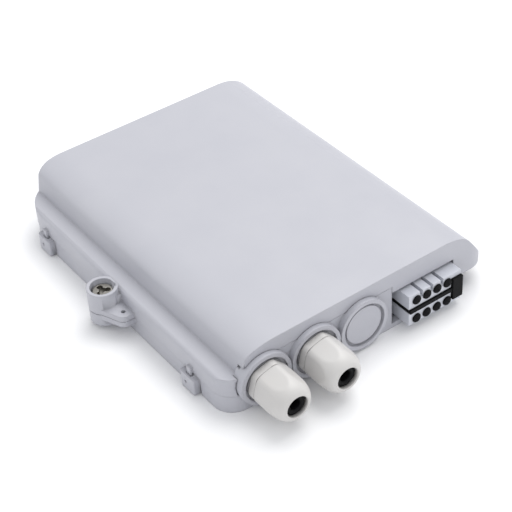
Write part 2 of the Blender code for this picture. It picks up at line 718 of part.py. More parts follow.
def add_seal_shelf(cover):
    """The flat shelf inside the skirt that presses on the gasket."""
    shelf = slab("seal_shelf", shell_outline(COVER_WALL / 2, RIGHT),
                 LEDGE_HEIGHT - SEAL_SHELF_THICKNESS, LEDGE_HEIGHT)
    hole = slab("seal_shelf_hole", shell_outline(COVER_WALL + SEAL_SHELF_WIDTH, BASE_RIGHT),
                LEDGE_HEIGHT - CUT_MARGIN, LEDGE_HEIGHT + CUT_MARGIN)
    outside = cover_solid("seal_shelf_limit", COVER_WALL / 2, SEAM_HEIGHT)
    cut(shelf, hole)
    front_gap = block("seal_shelf_front",
                      (LEFT + COVER_WALL, FRONT - CUT_MARGIN, 0),
                      (RIGHT - COVER_WALL, GASKET_END_Y, BOX_HEIGHT))
    cut(shelf, front_gap)
    combine(shelf, outside, "INTERSECT")
    fuse(cover, shelf)
    rib_y = PORT_BACK_Y - PORT_WALL_STEP_DEPTH
    rib = block("seal_rib", (PORT_WALL_LEFT, rib_y,
                             PORT_WALL_STEP_HEIGHT + GASKET_HEIGHT + 2 * FIT_GAP),
                (POCKET_X - DROP_POCKET_WALL, rib_y + PORT_WALL_STEP_DEPTH,
                 BOX_HEIGHT - COVER_WALL / 2))
    rib_limit = cover_solid("seal_rib_limit", COVER_WALL / 2, SEAM_HEIGHT)
    combine(rib, rib_limit, "INTERSECT")
    fuse(cover, rib)


def add_stiffeners(cover):
    """Low ribs across the inside of the cover's roof."""
    roof = BOX_HEIGHT - COVER_WALL
    for index in range(STIFFENER_COUNT):
        place = FRONT + BOX_LENGTH * (index + 1) / (STIFFENER_COUNT + 1)
        rib = block("stiffener_%d" % index,
                    (LEFT + SHOULDER_INSET + SHOULDER_WIDTH, place - STIFFENER_WIDTH / 2,
                     roof - STIFFENER_DEPTH),
                    (RIGHT - HINGE_SHOULDER_START, place + STIFFENER_WIDTH / 2,
                     roof + COVER_WALL / 2))
        fuse(cover, rib)


def open_front(cover):
    """Cut the cover's end wall away over the port wall, and clear the first port."""
    inside = FRONT + INNER_INSET
    left_edge = PORT_WALL_LEFT
    right_edge = DROP_BLOCK_RIGHT + COVER_OPENING_MARGIN
    low = block("drop_opening", (left_edge, FRONT - CUT_MARGIN, 0),
                (right_edge, inside, COVER_DROP_OPENING_HEIGHT))
    high = block("port_opening", (left_edge - FIT_GAP, FRONT - 2 * CUT_MARGIN, 0),
                 (POCKET_X, PORT_BACK_Y + FIT_GAP, COVER_FRONT_OPENING_HEIGHT))
    first = port_positions()[0]
    boss = rod("boss_clearance", (first, FRONT, PORT_CENTRE_HEIGHT),
               PORT_BOSS_RADIUS + 2 * FIT_GAP, 2 * PORT_WALL_THICKNESS, "Y")
    limit = block("boss_limit", (LEFT - CUT_MARGIN, FRONT - BOX_HEIGHT, 0),
                  (POCKET_X, FRONT + BOX_HEIGHT, COVER_FRONT_OPENING_HEIGHT - FIT_GAP))
    combine(boss, limit, "INTERSECT")
    cut(cover, low, high, boss, locknut_relief(first))


def add_cover_knuckle(cover, side):
    """The cover's half of one hinge, hung from the skirt."""
    place = side * HINGE_SPACING / 2
    label = "front" if side < 0 else "back"
    outline = arc((HINGE_X, HINGE_AXIS_HEIGHT),
                  (HINGE_KNUCKLE_RADIUS, HINGE_KNUCKLE_RADIUS), 90, HINGE_WEB_START,
                  SMALL_STEPS)
    outer = RIGHT - FIT_GAP
    inner = RIGHT - COVER_WALL + FIT_GAP
    top = SEAM_HEIGHT + COVER_WALL
    outline += [(outer, HINGE_AXIS_HEIGHT), (outer, top), (inner, top),
                (inner, SEAM_HEIGHT - HINGE_KNUCKLE_GAP)]
    barrel = across("cover_knuckle_" + label, outline, place, HINGE_COVER_KNUCKLE)
    fuse(cover, barrel)
    cut(cover, knuckle("cover_knuckle_bore_" + label, HINGE_X, place, HINGE_AXIS_HEIGHT,
                       HINGE_COVER_KNUCKLE + 2 * FIT_GAP, HINGE_BORE_RADIUS))


def add_snap_tongue(cover, side):
    """A tongue below the skirt that drops into a lug of the base."""
    place = side * SNAP_SPACING / 2
    label = "front" if side < 0 else "back"
    outer = LEFT - SNAP_PROUD / 2
    tongue = block("snap_tongue_" + label,
                   (outer, place - SNAP_TONGUE_LENGTH / 2, SEAM_HEIGHT - SNAP_TONGUE_DEPTH),
                   (outer + SNAP_TONGUE_WIDTH, place + SNAP_TONGUE_LENGTH / 2,
                    SEAM_HEIGHT + 2 * COVER_WALL))
    root = block("snap_root_" + label,
                 (outer, place - SNAP_TONGUE_LENGTH / 2, SEAM_HEIGHT + FIT_GAP),
                 (LEFT + COVER_WALL / 2, place + SNAP_TONGUE_LENGTH / 2,
                  SEAM_HEIGHT + 2 * COVER_WALL))
    fuse(cover, tongue, root)


def locknut_relief(place):
    """The room that a gland's lock nut needs behind the port wall."""
    return hexagon("locknut_relief",
                   (place, PORT_BACK_Y + LOCKNUT_THICKNESS / 2, PORT_CENTRE_HEIGHT),
                   LOCKNUT_FLATS + 2 * FIT_GAP, LOCKNUT_THICKNESS + 4 * FIT_GAP, "Y")


def make_base():
    """The base shell with its port wall, bosses, ears, lugs and inner posts."""
    seam = SEAM_HEIGHT - FIT_GAP
    base = slab("base_shell", shell_outline(BASE_OUTSIDE, BASE_RIGHT), 0.0, seam)
    spigot = slab("spigot", shell_outline(SPIGOT_INSET, BASE_RIGHT), BASE_FLOOR,
                  SPIGOT_HEIGHT)
    fuse(base, spigot)
    port_wall = block("port_wall", (PORT_WALL_LEFT, PORT_FACE_Y, 0.0),
                      (BASE_RIGHT - BASE_HINGE_CORNER_RADIUS, PORT_BACK_Y, PORT_WALL_HEIGHT))
    fuse(base, port_wall)
    cavity = slab("cavity", shell_outline(INNER_INSET, BASE_RIGHT), BASE_FLOOR, BOX_HEIGHT)
    cut(base, cavity)
    wall_back = block("port_wall_back",
                      (PORT_WALL_LEFT, FRONT + INNER_INSET - FIT_GAP,
                       BASE_FLOOR - FIT_GAP),
                      (POCKET_X, PORT_BACK_Y, PORT_WALL_STEP_HEIGHT))
    fuse(base, wall_back)
    step = block("port_wall_step",
                 (LEFT, PORT_BACK_Y - PORT_WALL_STEP_DEPTH, PORT_WALL_STEP_HEIGHT),
                 (RIGHT, BACK, BOX_HEIGHT))
    add_port_bosses(base)
    cut(base, step)
    add_drop_pocket(base)
    add_base_lock(base)
    for side in HINGE_SIDES:
        add_base_knuckles(base, side)
        add_snap_lug(base, side)
        add_tray_posts(base, side)
    add_clamp_bosses(base)
    add_floor_details(base)
    return finish(base, SHELL_GREY)


def add_port_bosses(base):
    """Three proud round bosses: two bored for glands, one with a knock-out disc."""
    depth = PORT_BOSS_DEPTH + PORT_WALL_THICKNESS - FIT_GAP
    middle = PORT_BOSS_Y + depth / 2
    for index, place in enumerate(port_positions()):
        boss = rod("port_boss_%d" % index, (place, middle, PORT_CENTRE_HEIGHT),
                   PORT_BOSS_RADIUS, depth, "Y", FINE_STEPS)
        spare = block("port_boss_trim_%d" % index,
                      (place - BOX_WIDTH, FRONT - FIT_GAP, PORT_WALL_HEIGHT),
                      (place + BOX_WIDTH, BACK, BOX_HEIGHT))
        cut(boss, spare)
        fuse(base, boss)
        if index < GLAND_COUNT:
            cut(base, rod("port_recess_%d" % index,
                          (place, PORT_SEAT_Y - CUT_MARGIN / 2, PORT_CENTRE_HEIGHT),
                          PORT_RECESS_RADIUS, CUT_MARGIN, "Y", FINE_STEPS))
            cut(base, rod("gland_hole_%d" % index,
                          (place, PORT_FACE_Y, PORT_CENTRE_HEIGHT),
                          GLAND_HOLE_RADIUS, BOX_HEIGHT, "Y"))
            cut(base, locknut_relief(place))
    add_knockout(base, port_positions()[GLAND_COUNT])


def add_knockout(base, place):
    """A tear-out disc: a ring groove in front, a lower face and a pocket behind."""
    outer = PORT_RECESS_RADIUS
    inner = PORT_RECESS_RADIUS - KNOCKOUT_GROOVE_WIDTH
    groove = turned("knockout_groove",
                    [(outer, CUT_MARGIN), (outer, -KNOCKOUT_GROOVE_DEPTH),
                     (inner, -KNOCKOUT_GROOVE_DEPTH), (inner, CUT_MARGIN)],
                    (place, PORT_BOSS_Y, PORT_CENTRE_HEIGHT), "-Y", FINE_STEPS)
    face = rod("knockout_face",
               (place, PORT_BOSS_Y + KNOCKOUT_FACE_DROP - CUT_MARGIN, PORT_CENTRE_HEIGHT),
               outer - KNOCKOUT_GROOVE_WIDTH / 2, 2 * CUT_MARGIN, "Y", FINE_STEPS)
    front = PORT_BOSS_Y + KNOCKOUT_GROOVE_DEPTH + KNOCKOUT_WEB
    pocket = rod("knockout_pocket", (place, PORT_BACK_Y, PORT_CENTRE_HEIGHT),
                 outer - KNOCKOUT_POCKET_MARGIN, 2 * (PORT_BACK_Y - front), "Y")
    room = block("knockout_room",
                 (place - PORT_BOSS_RADIUS, FRONT - PORT_BOSS_DEPTH, BASE_FLOOR + FIT_GAP),
                 (place + PORT_BOSS_RADIUS, BACK,
                  PORT_WALL_STEP_HEIGHT - KNOCKOUT_WEB))
    combine(pocket, room, "INTERSECT")
    cut(base, groove, face, pocket)


def add_drop_pocket(base):
    """The open pocket in the port wall that takes the drop outlet block."""
    side = block("pocket_side", (POCKET_X - DROP_POCKET_WALL, PORT_FACE_Y + FIT_GAP,
                                 BASE_FLOOR - FIT_GAP),
                 (POCKET_X, PORT_FACE_Y + DROP_POCKET_DEPTH, PORT_WALL_STEP_HEIGHT))
    opening = block("pocket_opening", (POCKET_X, FRONT - CUT_MARGIN, DROP_POCKET_FLOOR),
                    (DROP_BLOCK_RIGHT + FIT_GAP, PORT_FACE_Y + DROP_POCKET_DEPTH, BOX_HEIGHT))
    fuse(base, side)
    cut(base, opening)


def add_base_lock(base):
    """The base's ear under the lock cup, bored for its brass insert."""
    top = SEAM_HEIGHT - FIT_GAP
    ear = side_lobe("lock_ear", 0, LOCK_OFFSET, LOCK_EAR_RADIUS, LOCK_EAR_BOTTOM,
                    top - FIT_GAP)
    fuse(base, ear, eyelet_plate("base_eyelet", EYELET_BOTTOM, top))
    cut(base,
        rod("insert_bore", (LOCK_X, 0, SEAM_HEIGHT), LOCK_INSERT_RADIUS + FIT_GAP / 2,
            2 * (LOCK_INSERT_LENGTH + 3 * FIT_GAP)),
        rod("base_eyelet_hole", (LEFT - EYELET_OFFSET_X, -EYELET_OFFSET_Y, 0),
            EYELET_HOLE_RADIUS, BOX_HEIGHT, steps=SMALL_STEPS))


def add_base_knuckles(base, side):
    """The base's two knuckles of one hinge, with webs to the wall."""
    label = "front" if side < 0 else "back"
    reach = (HINGE_COVER_KNUCKLE + HINGE_BASE_KNUCKLE) / 2 + HINGE_KNUCKLE_GAP
    for end in HINGE_SIDES:
        place = side * HINGE_SPACING / 2 + end * reach
        name = "base_knuckle_%s_%d" % (label, end)
        outline = lobe_outline((HINGE_X, HINGE_AXIS_HEIGHT), HINGE_KNUCKLE_RADIUS,
                               BASE_RIGHT - BASE_WALL / 2, SMALL_STEPS)
        fuse(base, across(name, outline, place, HINGE_BASE_KNUCKLE))
        cut(base, knuckle(name + "_bore", HINGE_X, place, HINGE_AXIS_HEIGHT,
                          HINGE_BASE_KNUCKLE + 2 * FIT_GAP, HINGE_BORE_RADIUS))


def add_snap_lug(base, side):
    """A rounded lug on the lock side with a slot for the cover's tongue."""
    label = "front" if side < 0 else "back"
    place = side * SNAP_SPACING / 2
    half = SNAP_LENGTH / 2
    outer = LEFT - SNAP_PROUD
    outline = rounded_outline(outer, place - half, LEFT + BASE_WALL, place + half,
                              SNAP_PROUD / 2, FIT_GAP)
    lug = slab("snap_lug_" + label, outline, FIT_GAP, SNAP_TOP)
    slot_x = LEFT - SNAP_PROUD / 2
    slot = block("snap_slot_" + label,
                 (slot_x - FIT_GAP, place - SNAP_TONGUE_LENGTH / 2 - 2 * FIT_GAP,
                  SEAM_HEIGHT - SNAP_TONGUE_DEPTH - 2 * FIT_GAP),
                 (slot_x + SNAP_TONGUE_WIDTH + FIT_GAP,
                  place + SNAP_TONGUE_LENGTH / 2 + 2 * FIT_GAP, BOX_HEIGHT))
    dimple = rod("snap_dimple_" + label,
                 (outer, place + SNAP_DIMPLE_OFFSET, SNAP_DIMPLE_HEIGHT),
                 SNAP_DIMPLE_RADIUS, SNAP_PROUD / 2, "X", SMALL_STEPS)
    end_slot = block("snap_end_slot_" + label,
                     (outer - FIT_GAP, place - half - SNAP_END_SLOT, -FIT_GAP),
                     (LEFT + SNAP_END_SLOT_DEPTH, place - half + FIT_GAP, SNAP_TOP))
    fuse(base, lug)
    cut(base, slot, dimple, end_slot)


def add_tray_posts(base, side):
    """One post with a bore for a splice tray pin."""
    label = "front" if side < 0 else "back"
    place = TRAY_CENTRE_Y + side * TRAY_HINGE_SPACING / 2
    reach = (TRAY_KNUCKLE_LENGTH + TRAY_POST_LENGTH) / 2 + HINGE_KNUCKLE_GAP
    middle = place + side * reach
    outline = arc((TRAY_PIN_X, TRAY_PIN_HEIGHT), (TRAY_KNUCKLE_RADIUS, TRAY_KNUCKLE_RADIUS),
                  0, 180, SMALL_STEPS // 2)
    outline += [(TRAY_PIN_X - TRAY_KNUCKLE_RADIUS, BASE_FLOOR / 2),
                (TRAY_PIN_X + TRAY_KNUCKLE_RADIUS, BASE_FLOOR / 2)]
    fuse(base, across("tray_post_" + label, outline, middle, TRAY_POST_LENGTH))
    cut(base, knuckle("tray_post_bore_" + label, TRAY_PIN_X, middle, TRAY_PIN_HEIGHT,
                      TRAY_POST_LENGTH + 2 * FIT_GAP, TRAY_PIN_RADIUS + FIT_GAP / 2))


def clamp_screw_positions():
    """Where the clamp screws stand, two behind each gland."""
    depth = PORT_BACK_Y + CLAMP_DISTANCE
    places = []
    for place in port_positions()[:GLAND_COUNT]:
        for side in HINGE_SIDES:
            places.append((place + side * CLAMP_SCREW_SPACING / 2, depth))
    return places


def add_clamp_bosses(base):
    """Screw bosses under the cable clamps."""
    for index, (x, y) in enumerate(clamp_screw_positions()):
        boss = rod("clamp_boss_%d" % index,
                   (x, y, (BASE_FLOOR + CLAMP_BOSS_HEIGHT) / 2 - FIT_GAP),
                   CLAMP_BOSS_RADIUS, CLAMP_BOSS_HEIGHT - BASE_FLOOR + FIT_GAP,
                   steps=SMALL_STEPS)
        fuse(base, boss)
        cut(base, rod("clamp_boss_bore_%d" % index, (x, y, CLAMP_BOSS_HEIGHT),
                      SCREW_RADIUS + FIT_GAP / 2,
                      2 * (SCREW_LENGTH - CLAMP_HEIGHT + 2 * FIT_GAP),
                      steps=SMALL_STEPS // 2))


def add_floor_details(base):
    """Wall screw holes and two low ribs that locate the adapter bracket."""
    for side_x, x in ((1, LEFT + WALL_SCREW_INSET_X), (-1, BASE_RIGHT - WALL_SCREW_INSET_X)):
        for y in (FRONT + WALL_SCREW_INSET_Y, BACK - WALL_SCREW_INSET_Y):
            cut(base, rod("wall_hole_%d_%d" % (side_x, int(y / MM)), (x, y, 0),
                          WALL_SCREW_RADIUS, 2 * (BASE_FLOOR + FIT_GAP), steps=SMALL_STEPS))
    half = (ADAPTER_COUNT * ADAPTER_PITCH) / 2 + BRACKET_MARGIN + 2 * FIT_GAP
    for side in HINGE_SIDES:
        x = ADAPTER_ROW_X + side * half
        rib = block("bracket_stop_%d" % side,
                    (x - FLOOR_RIB_WIDTH * (side < 0), ADAPTER_ROW_Y - BRACKET_FOOT,
                     BASE_FLOOR - FIT_GAP),
                    (x + FLOOR_RIB_WIDTH * (side > 0), ADAPTER_ROW_Y + BRACKET_FOOT,
                     BASE_FLOOR + FLOOR_RIB_HEIGHT))
        fuse(base, rib)


def make_gaskets():
    """The rubber frame on the spigot and the strip on the port wall."""
    outer = SPIGOT_INSET - FIT_GAP
    low = SPIGOT_HEIGHT + FIT_GAP
    high = low + GASKET_HEIGHT
    frame = slab("gasket_frame", shell_outline(outer, BASE_RIGHT), low, high)
    hole = slab("gasket_frame_hole", shell_outline(outer + GASKET_WIDTH, BASE_RIGHT),
                low - CUT_MARGIN, high + CUT_MARGIN)
    front = block("gasket_frame_front", (LEFT - CUT_MARGIN, FRONT - CUT_MARGIN, low - CUT_MARGIN),
                  (RIGHT, GASKET_END_Y + FIT_GAP, high + CUT_MARGIN))
    cut(frame, hole, front)
    finish(frame, GASKET_GREY)
    strip_y = PORT_BACK_Y - PORT_WALL_STEP_DEPTH
    strip = block("gasket_strip",
                  (PORT_WALL_LEFT + FIT_GAP, strip_y + FIT_GAP,
                   PORT_WALL_STEP_HEIGHT + FIT_GAP),
                  (POCKET_X - DROP_POCKET_WALL, PORT_BACK_Y,
                   PORT_WALL_STEP_HEIGHT + FIT_GAP + GASKET_HEIGHT))
    finish(strip, GASKET_GREY)


def make_hinge_pins():
    """Two steel pins along the hinge axis."""
    length = HINGE_COVER_KNUCKLE + 2 * HINGE_BASE_KNUCKLE + 2 * HINGE_KNUCKLE_GAP
    for side, label in ((-1, "front"), (1, "back")):
        pin = rod("hinge_pin_" + label, (HINGE_X, side * HINGE_SPACING / 2, HINGE_AXIS_HEIGHT),
                  HINGE_PIN_RADIUS, length, "Y", SMALL_STEPS)
        finish(pin, PIN_STEEL)


def make_lock():
    """The captive bolt, its washer and the brass insert it screws into."""
    washer_low = LOCK_CUP_FLOOR + FIT_GAP
    washer_high = washer_low + LOCK_WASHER_THICKNESS
    bore = LOCK_BOLT_RADIUS + LOCK_BOLT_CLEARANCE
    washer = turned("lock_washer",
                    [(LOCK_WASHER_RADIUS, washer_high), (LOCK_WASHER_RADIUS, washer_low),
                     (bore, washer_low), (bore, washer_high)],
                    (LOCK_X, 0, 0))
    finish(washer, PIN_STEEL)
    head_low = washer_high + FIT_GAP
    bolt = rod("lock_bolt", (LOCK_X, 0, head_low + LOCK_HEAD_THICKNESS / 2),
               LOCK_HEAD_RADIUS, LOCK_HEAD_THICKNESS)
    shank = rod("lock_shank", (LOCK_X, 0, head_low - LOCK_BOLT_REACH / 2 + FIT_GAP),
                LOCK_BOLT_RADIUS, LOCK_BOLT_REACH + 2 * FIT_GAP, steps=SMALL_STEPS)
    fuse(bolt, shank)
    key_z = head_low + LOCK_HEAD_THICKNESS
    for index in range(LOCK_KEY_LOBES):
        angle = 2 * math.pi * index / LOCK_KEY_LOBES + math.pi / 2
        lobe = rod("lock_key_%d" % index,
                   (LOCK_X + LOCK_KEY_LOBE_OFFSET * math.cos(angle),
                    LOCK_KEY_LOBE_OFFSET * math.sin(angle), key_z),
                   LOCK_KEY_LOBE_RADIUS, 2 * LOCK_KEY_DEPTH, steps=SMALL_STEPS)
        cut(bolt, lobe)
    finish(bolt, BOLT_STEEL)
    top = SEAM_HEIGHT - 2 * FIT_GAP
    low = top - LOCK_INSERT_LENGTH
    insert = turned("lock_insert",
                    [(LOCK_INSERT_RADIUS, top), (LOCK_INSERT_RADIUS, low), (bore, low),
                     (bore, top)],
                    (LOCK_X, 0, 0))
    finish(insert, INSERT_BRASS)


def make_gland(index, place):
    """One cable gland: body, washer, lock nut, seal and dome nut, along -Y."""
    number = index + 1
    height = PORT_CENTRE_HEIGHT
    seat = PORT_SEAT_Y
    washer_front = seat - FIT_GAP - GLAND_WASHER_THICKNESS
    washer = turned("gland_%d_washer" % number,
                    [(GLAND_WASHER_RADIUS, GLAND_WASHER_THICKNESS), (GLAND_WASHER_RADIUS, 0),
                     (GLAND_HOLE_RADIUS, 0), (GLAND_HOLE_RADIUS, GLAND_WASHER_THICKNESS)],
                    (place, seat - FIT_GAP, height), "-Y")
    finish(washer, SEAL_BLACK)
    flange_back = washer_front - FIT_GAP
    body = make_gland_body(number, place, flange_back)
    finish(body, GLAND_WHITE)
    nut_y = PORT_BACK_Y + FIT_GAP + LOCKNUT_THICKNESS / 2
    locknut = hexagon("gland_%d_locknut" % number, (place, nut_y, height), LOCKNUT_FLATS,
                      LOCKNUT_THICKNESS, "Y")
    cut(locknut, rod("locknut_hole_%d" % number, (place, nut_y, height),
                     GLAND_THREAD_RADIUS + FIT_GAP, 2 * LOCKNUT_THICKNESS, "Y"))
    finish(locknut, GLAND_WHITE)
    flange_front = flange_back - GLAND_FLANGE_THICKNESS
    make_dome_nut(number, place, flange_front - FIT_GAP)
    seal_front = flange_front - GLAND_COLLET_LENGTH - 2 * FIT_GAP
    seal = turned("gland_%d_seal" % number,
                  [(SEAL_RADIUS, FIT_GAP), (SEAL_RADIUS, -SEAL_LENGTH),
                   (SEAL_BORE_RADIUS, -SEAL_LENGTH),
                   (SEAL_BORE_RADIUS, 0), (SEAL_BORE_RADIUS + FIT_GAP, FIT_GAP)],
                  (place, seal_front, height), "-Y")
    finish(seal, SEAL_BLACK)


def make_gland_body(number, place, flange_back):
    """The threaded body: tail through the wall, hexagonal flange and collet."""
    height = PORT_CENTRE_HEIGHT
    tail_back = PORT_BACK_Y + GLAND_TAIL_LENGTH
    flange_middle = flange_back - GLAND_FLANGE_THICKNESS / 2
    body = hexagon("gland_%d_body" % number, (place, flange_middle, height),
                   GLAND_FLANGE_FLATS, GLAND_FLANGE_THICKNESS, "Y")
    crown = rod("flange_crown_%d" % number, (place, flange_middle, height),
                GLAND_FLANGE_CROWN, BOX_HEIGHT, "Y")
    combine(body, crown, "INTERSECT")
    tail_length = tail_back - flange_back + FIT_GAP
    tail = rod("gland_tail_%d" % number, (place, tail_back - tail_length / 2, height),
               GLAND_THREAD_RADIUS, tail_length, "Y")
    collet_length = GLAND_FLANGE_THICKNESS + GLAND_COLLET_LENGTH
    collet = rod("gland_collet_%d" % number,
                 (place, flange_back - collet_length / 2 - FIT_GAP / 2, height),
                 GLAND_COLLET_RADIUS, collet_length - FIT_GAP, "Y")
    fuse(body, tail, collet)
    cut(body, rod("gland_bore_%d" % number, (place, flange_middle, height),
                  GLAND_BORE_RADIUS, 2 * BOX_HEIGHT, "Y"))
    return body


def make_dome_nut(number, place, back):
    """The dome nut: a hexagonal skirt that tapers to a rounded mouth."""
    height = PORT_CENTRE_HEIGHT
    taper = DOME_NUT_LENGTH - DOME_NUT_HEX_LENGTH
    outer = [(DOME_NUT_MOUTH_RADIUS, DOME_NUT_LENGTH)]
    outer += [(x, z) for x, z in
              arc((DOME_NUT_MOUTH_RADIUS, DOME_NUT_HEX_LENGTH),
                  (DOME_NUT_CROWN - DOME_NUT_MOUTH_RADIUS, taper), DOME_NUT_ROLL_END, 0, SHOULDER_STEPS)]
    inner_top = DOME_NUT_LENGTH - DOME_NUT_LIP
    profile = outer + [
        (DOME_NUT_CROWN, 0),
        (DOME_NUT_WALL_RADIUS, 0),
        (DOME_NUT_WALL_RADIUS, inner_top - 2 * DOME_NUT_LIP),
        (DOME_NUT_MOUTH_RADIUS + FIT_GAP, inner_top),
        (DOME_NUT_MOUTH_RADIUS, inner_top + FIT_GAP),
    ]
    nut = turned("gland_%d_dome_nut" % number, profile, (place, back, height), "-Y",
                 FINE_STEPS)
    flats = hexagon("dome_flats_%d" % number, (place, back, height), DOME_NUT_FLATS,
                    4 * DOME_NUT_LENGTH, "Y")
    combine(nut, flats, "INTERSECT")
    finish(nut, GLAND_WHITE)


def drop_columns():
    """The X places of the drop outlets."""
    return [DROP_BLOCK_X + DROP_FIRST_COLUMN + DROP_PITCH * index
            for index in range(DROP_COLUMNS)]


def make_drop_block():
    """Two halves, the strip between them and a bung in each outlet."""
    back = DROP_FRONT_Y + DROP_BLOCK_LENGTH
    half_strip = DROP_STRIP_THICKNESS / 2
    low_top = DROP_SEAM_HEIGHT - half_strip - FIT_GAP
    high_bottom = DROP_SEAM_HEIGHT + half_strip + FIT_GAP
    low_bottom = DROP_POCKET_FLOOR + FIT_GAP
    lower = block("drop_housing_lower", (DROP_BLOCK_X, DROP_FRONT_Y, low_bottom),
                  (DROP_BLOCK_RIGHT, back, low_top))
    upper = block("drop_housing_upper", (DROP_BLOCK_X, DROP_FRONT_Y, high_bottom),
                  (DROP_BLOCK_RIGHT, back, DROP_BLOCK_TOP))
    columns = drop_columns()
    rows = (("lower", lower, DROP_LOWER_ROW), ("upper", upper, DROP_UPPER_ROW))
    for label, half, height in rows:
        for index, place in enumerate(columns):
            cut(half, rod("drop_bore_%s_%d" % (label, index),
                          (place, DROP_FRONT_Y, height), DROP_BUNG_RADIUS + FIT_GAP / 2,
                          4 * DROP_BLOCK_LENGTH, "Y", SMALL_STEPS))
            make_bung(label, index, place, height)
    for index in range(DROP_COLUMNS):
        middle = columns[index] + DROP_PITCH / 2
        if index < DROP_COLUMNS - 1:
            gap = block("finger_gap_%d" % index,
                        (middle - DROP_FINGER_GAP / 2, DROP_FRONT_Y - CUT_MARGIN,
                         DROP_UPPER_ROW),
                        (middle + DROP_FINGER_GAP / 2, DROP_FRONT_Y + DROP_FINGER_LENGTH,
                         BOX_HEIGHT))
            cut(upper, gap)
    pad_left = DROP_BLOCK_RIGHT - DROP_PAD_WIDTH
    pad_low = low_bottom + DROP_PAD_MARGIN
    pad_high = DROP_BLOCK_TOP - DROP_PAD_MARGIN
    room = block("pad_room",
                 (pad_left - FIT_GAP, DROP_FRONT_Y - CUT_MARGIN, pad_low - FIT_GAP),
                 (BASE_RIGHT, DROP_FRONT_Y + DROP_PAD_DEPTH + FIT_GAP, pad_high + FIT_GAP))
    cut(lower, room)
    cut(upper, room)
    strip = block("drop_seal_strip",
                  (DROP_BLOCK_X + FIT_GAP, DROP_FRONT_Y - DROP_STRIP_PROUD,
                   DROP_SEAM_HEIGHT - half_strip),
                  (DROP_BLOCK_RIGHT, back - FIT_GAP, DROP_SEAM_HEIGHT + half_strip))
    pad = block("drop_seal_pad", (pad_left, DROP_FRONT_Y - DROP_PAD_PROUD, pad_low),
                (DROP_BLOCK_RIGHT + FIT_GAP, DROP_FRONT_Y + DROP_PAD_DEPTH, pad_high))
    fuse(strip, pad)
    finish(lower, OUTLET_WHITE)
    finish(upper, OUTLET_WHITE)
    finish(strip, SEAL_BLACK)


def make_bung(label, index, place, height):
    """A rubber bung: a domed head outside and a plug in the bore."""
    number = index + 1
    head = DROP_BUNG_HEAD_RADIUS
    plug = DROP_BUNG_RADIUS
    dome = arc((0, FIT_GAP), (head, DROP_BUNG_HEAD), DROP_BUNG_CROWN, 0,
               CORNER_STEPS - 2)
    profile = [(radius, level) for radius, level in dome]
    mesh_profile = profile + [(plug, FIT_GAP), (plug, -DROP_BUNG_LENGTH)]
    bung = turned_solid("drop_bung_%s_%d" % (label, number), mesh_profile,
                        (place, DROP_FRONT_Y, height), "-Y")
    finish(bung, SEAL_BLACK)


def turned_solid(name, profile, centre, axis):
    """A solid turned from a profile whose two ends are closed on the axis."""
    closed = [(0.0, profile[0][1])] + profile + [(0.0, profile[-1][1])]
    mesh = bpy.data.meshes.new(name)
    points = [(radius, 0.0, height) for radius, height in closed]
    mesh.from_pydata(points, [(index, index + 1) for index in range(len(points) - 1)], [])
    result = add_object(name, mesh, TOOLS)
    screw = result.modifiers.new("turn", "SCREW")
    screw.steps = SMALL_STEPS
    screw.render_steps = SMALL_STEPS
    screw.use_merge_vertices = True
    screw.merge_threshold = 0.00001
    screw.use_smooth_shade = False
    result.matrix_world = Matrix.Translation(Vector(centre)) @ AXIS_TURNS[axis]
    return result


def make_tray():
    """The splice tray with hubs, knuckles and its two pins."""
    bottom = TRAY_FLOOR_HEIGHT
    top = bottom + TRAY_DEPTH
    outline = rounded_outline(TRAY_LEFT, TRAY_FRONT, TRAY_RIGHT - TRAY_KNUCKLE_RADIUS,
                              TRAY_BACK, TRAY_CORNER_RADIUS, TRAY_CORNER_RADIUS)
    inner = rounded_outline(TRAY_LEFT + TRAY_WALL, TRAY_FRONT + TRAY_WALL,
                            TRAY_RIGHT - TRAY_KNUCKLE_RADIUS - TRAY_WALL,
                            TRAY_BACK - TRAY_WALL, TRAY_CORNER_RADIUS - TRAY_WALL,
                            TRAY_CORNER_RADIUS - TRAY_WALL)
    tray = slab("splice_tray", outline, bottom, top)
    cut(tray, slab("tray_hollow", inner, bottom + TRAY_FLOOR, top + CUT_MARGIN))
    middle_x = (TRAY_LEFT + TRAY_RIGHT - TRAY_KNUCKLE_RADIUS) / 2
    for side, label in ((-1, "left"), (1, "right")):
        hub_x = middle_x + side * TRAY_HUB_SPACING / 2
        low = bottom + TRAY_FLOOR - FIT_GAP
        high = bottom + TRAY_FLOOR + TRAY_HUB_HEIGHT
        ring = turned("tray_hub_" + label,
                      [(TRAY_HUB_RADIUS, high), (TRAY_HUB_RADIUS, low),
                       (TRAY_HUB_RADIUS - TRAY_HUB_WALL, low),
                       (TRAY_HUB_RADIUS - TRAY_HUB_WALL, high)],
                      (hub_x, TRAY_BACK - TRAY_HUB_RADIUS - TRAY_CORNER_RADIUS, 0))
        fuse(tray, ring)
        gate = block("tray_gate_" + label,
                     (hub_x - TRAY_GATE_WIDTH / 2, TRAY_FRONT - CUT_MARGIN,
                      bottom + TRAY_FLOOR + FIT_GAP),
                     (hub_x + TRAY_GATE_WIDTH / 2, TRAY_FRONT + CUT_MARGIN, top + CUT_MARGIN))
        cut(tray, gate)
    for side in HINGE_SIDES:
        add_tray_knuckle(tray, side)
    finish(tray, TRAY_WHITE)
    make_splices()


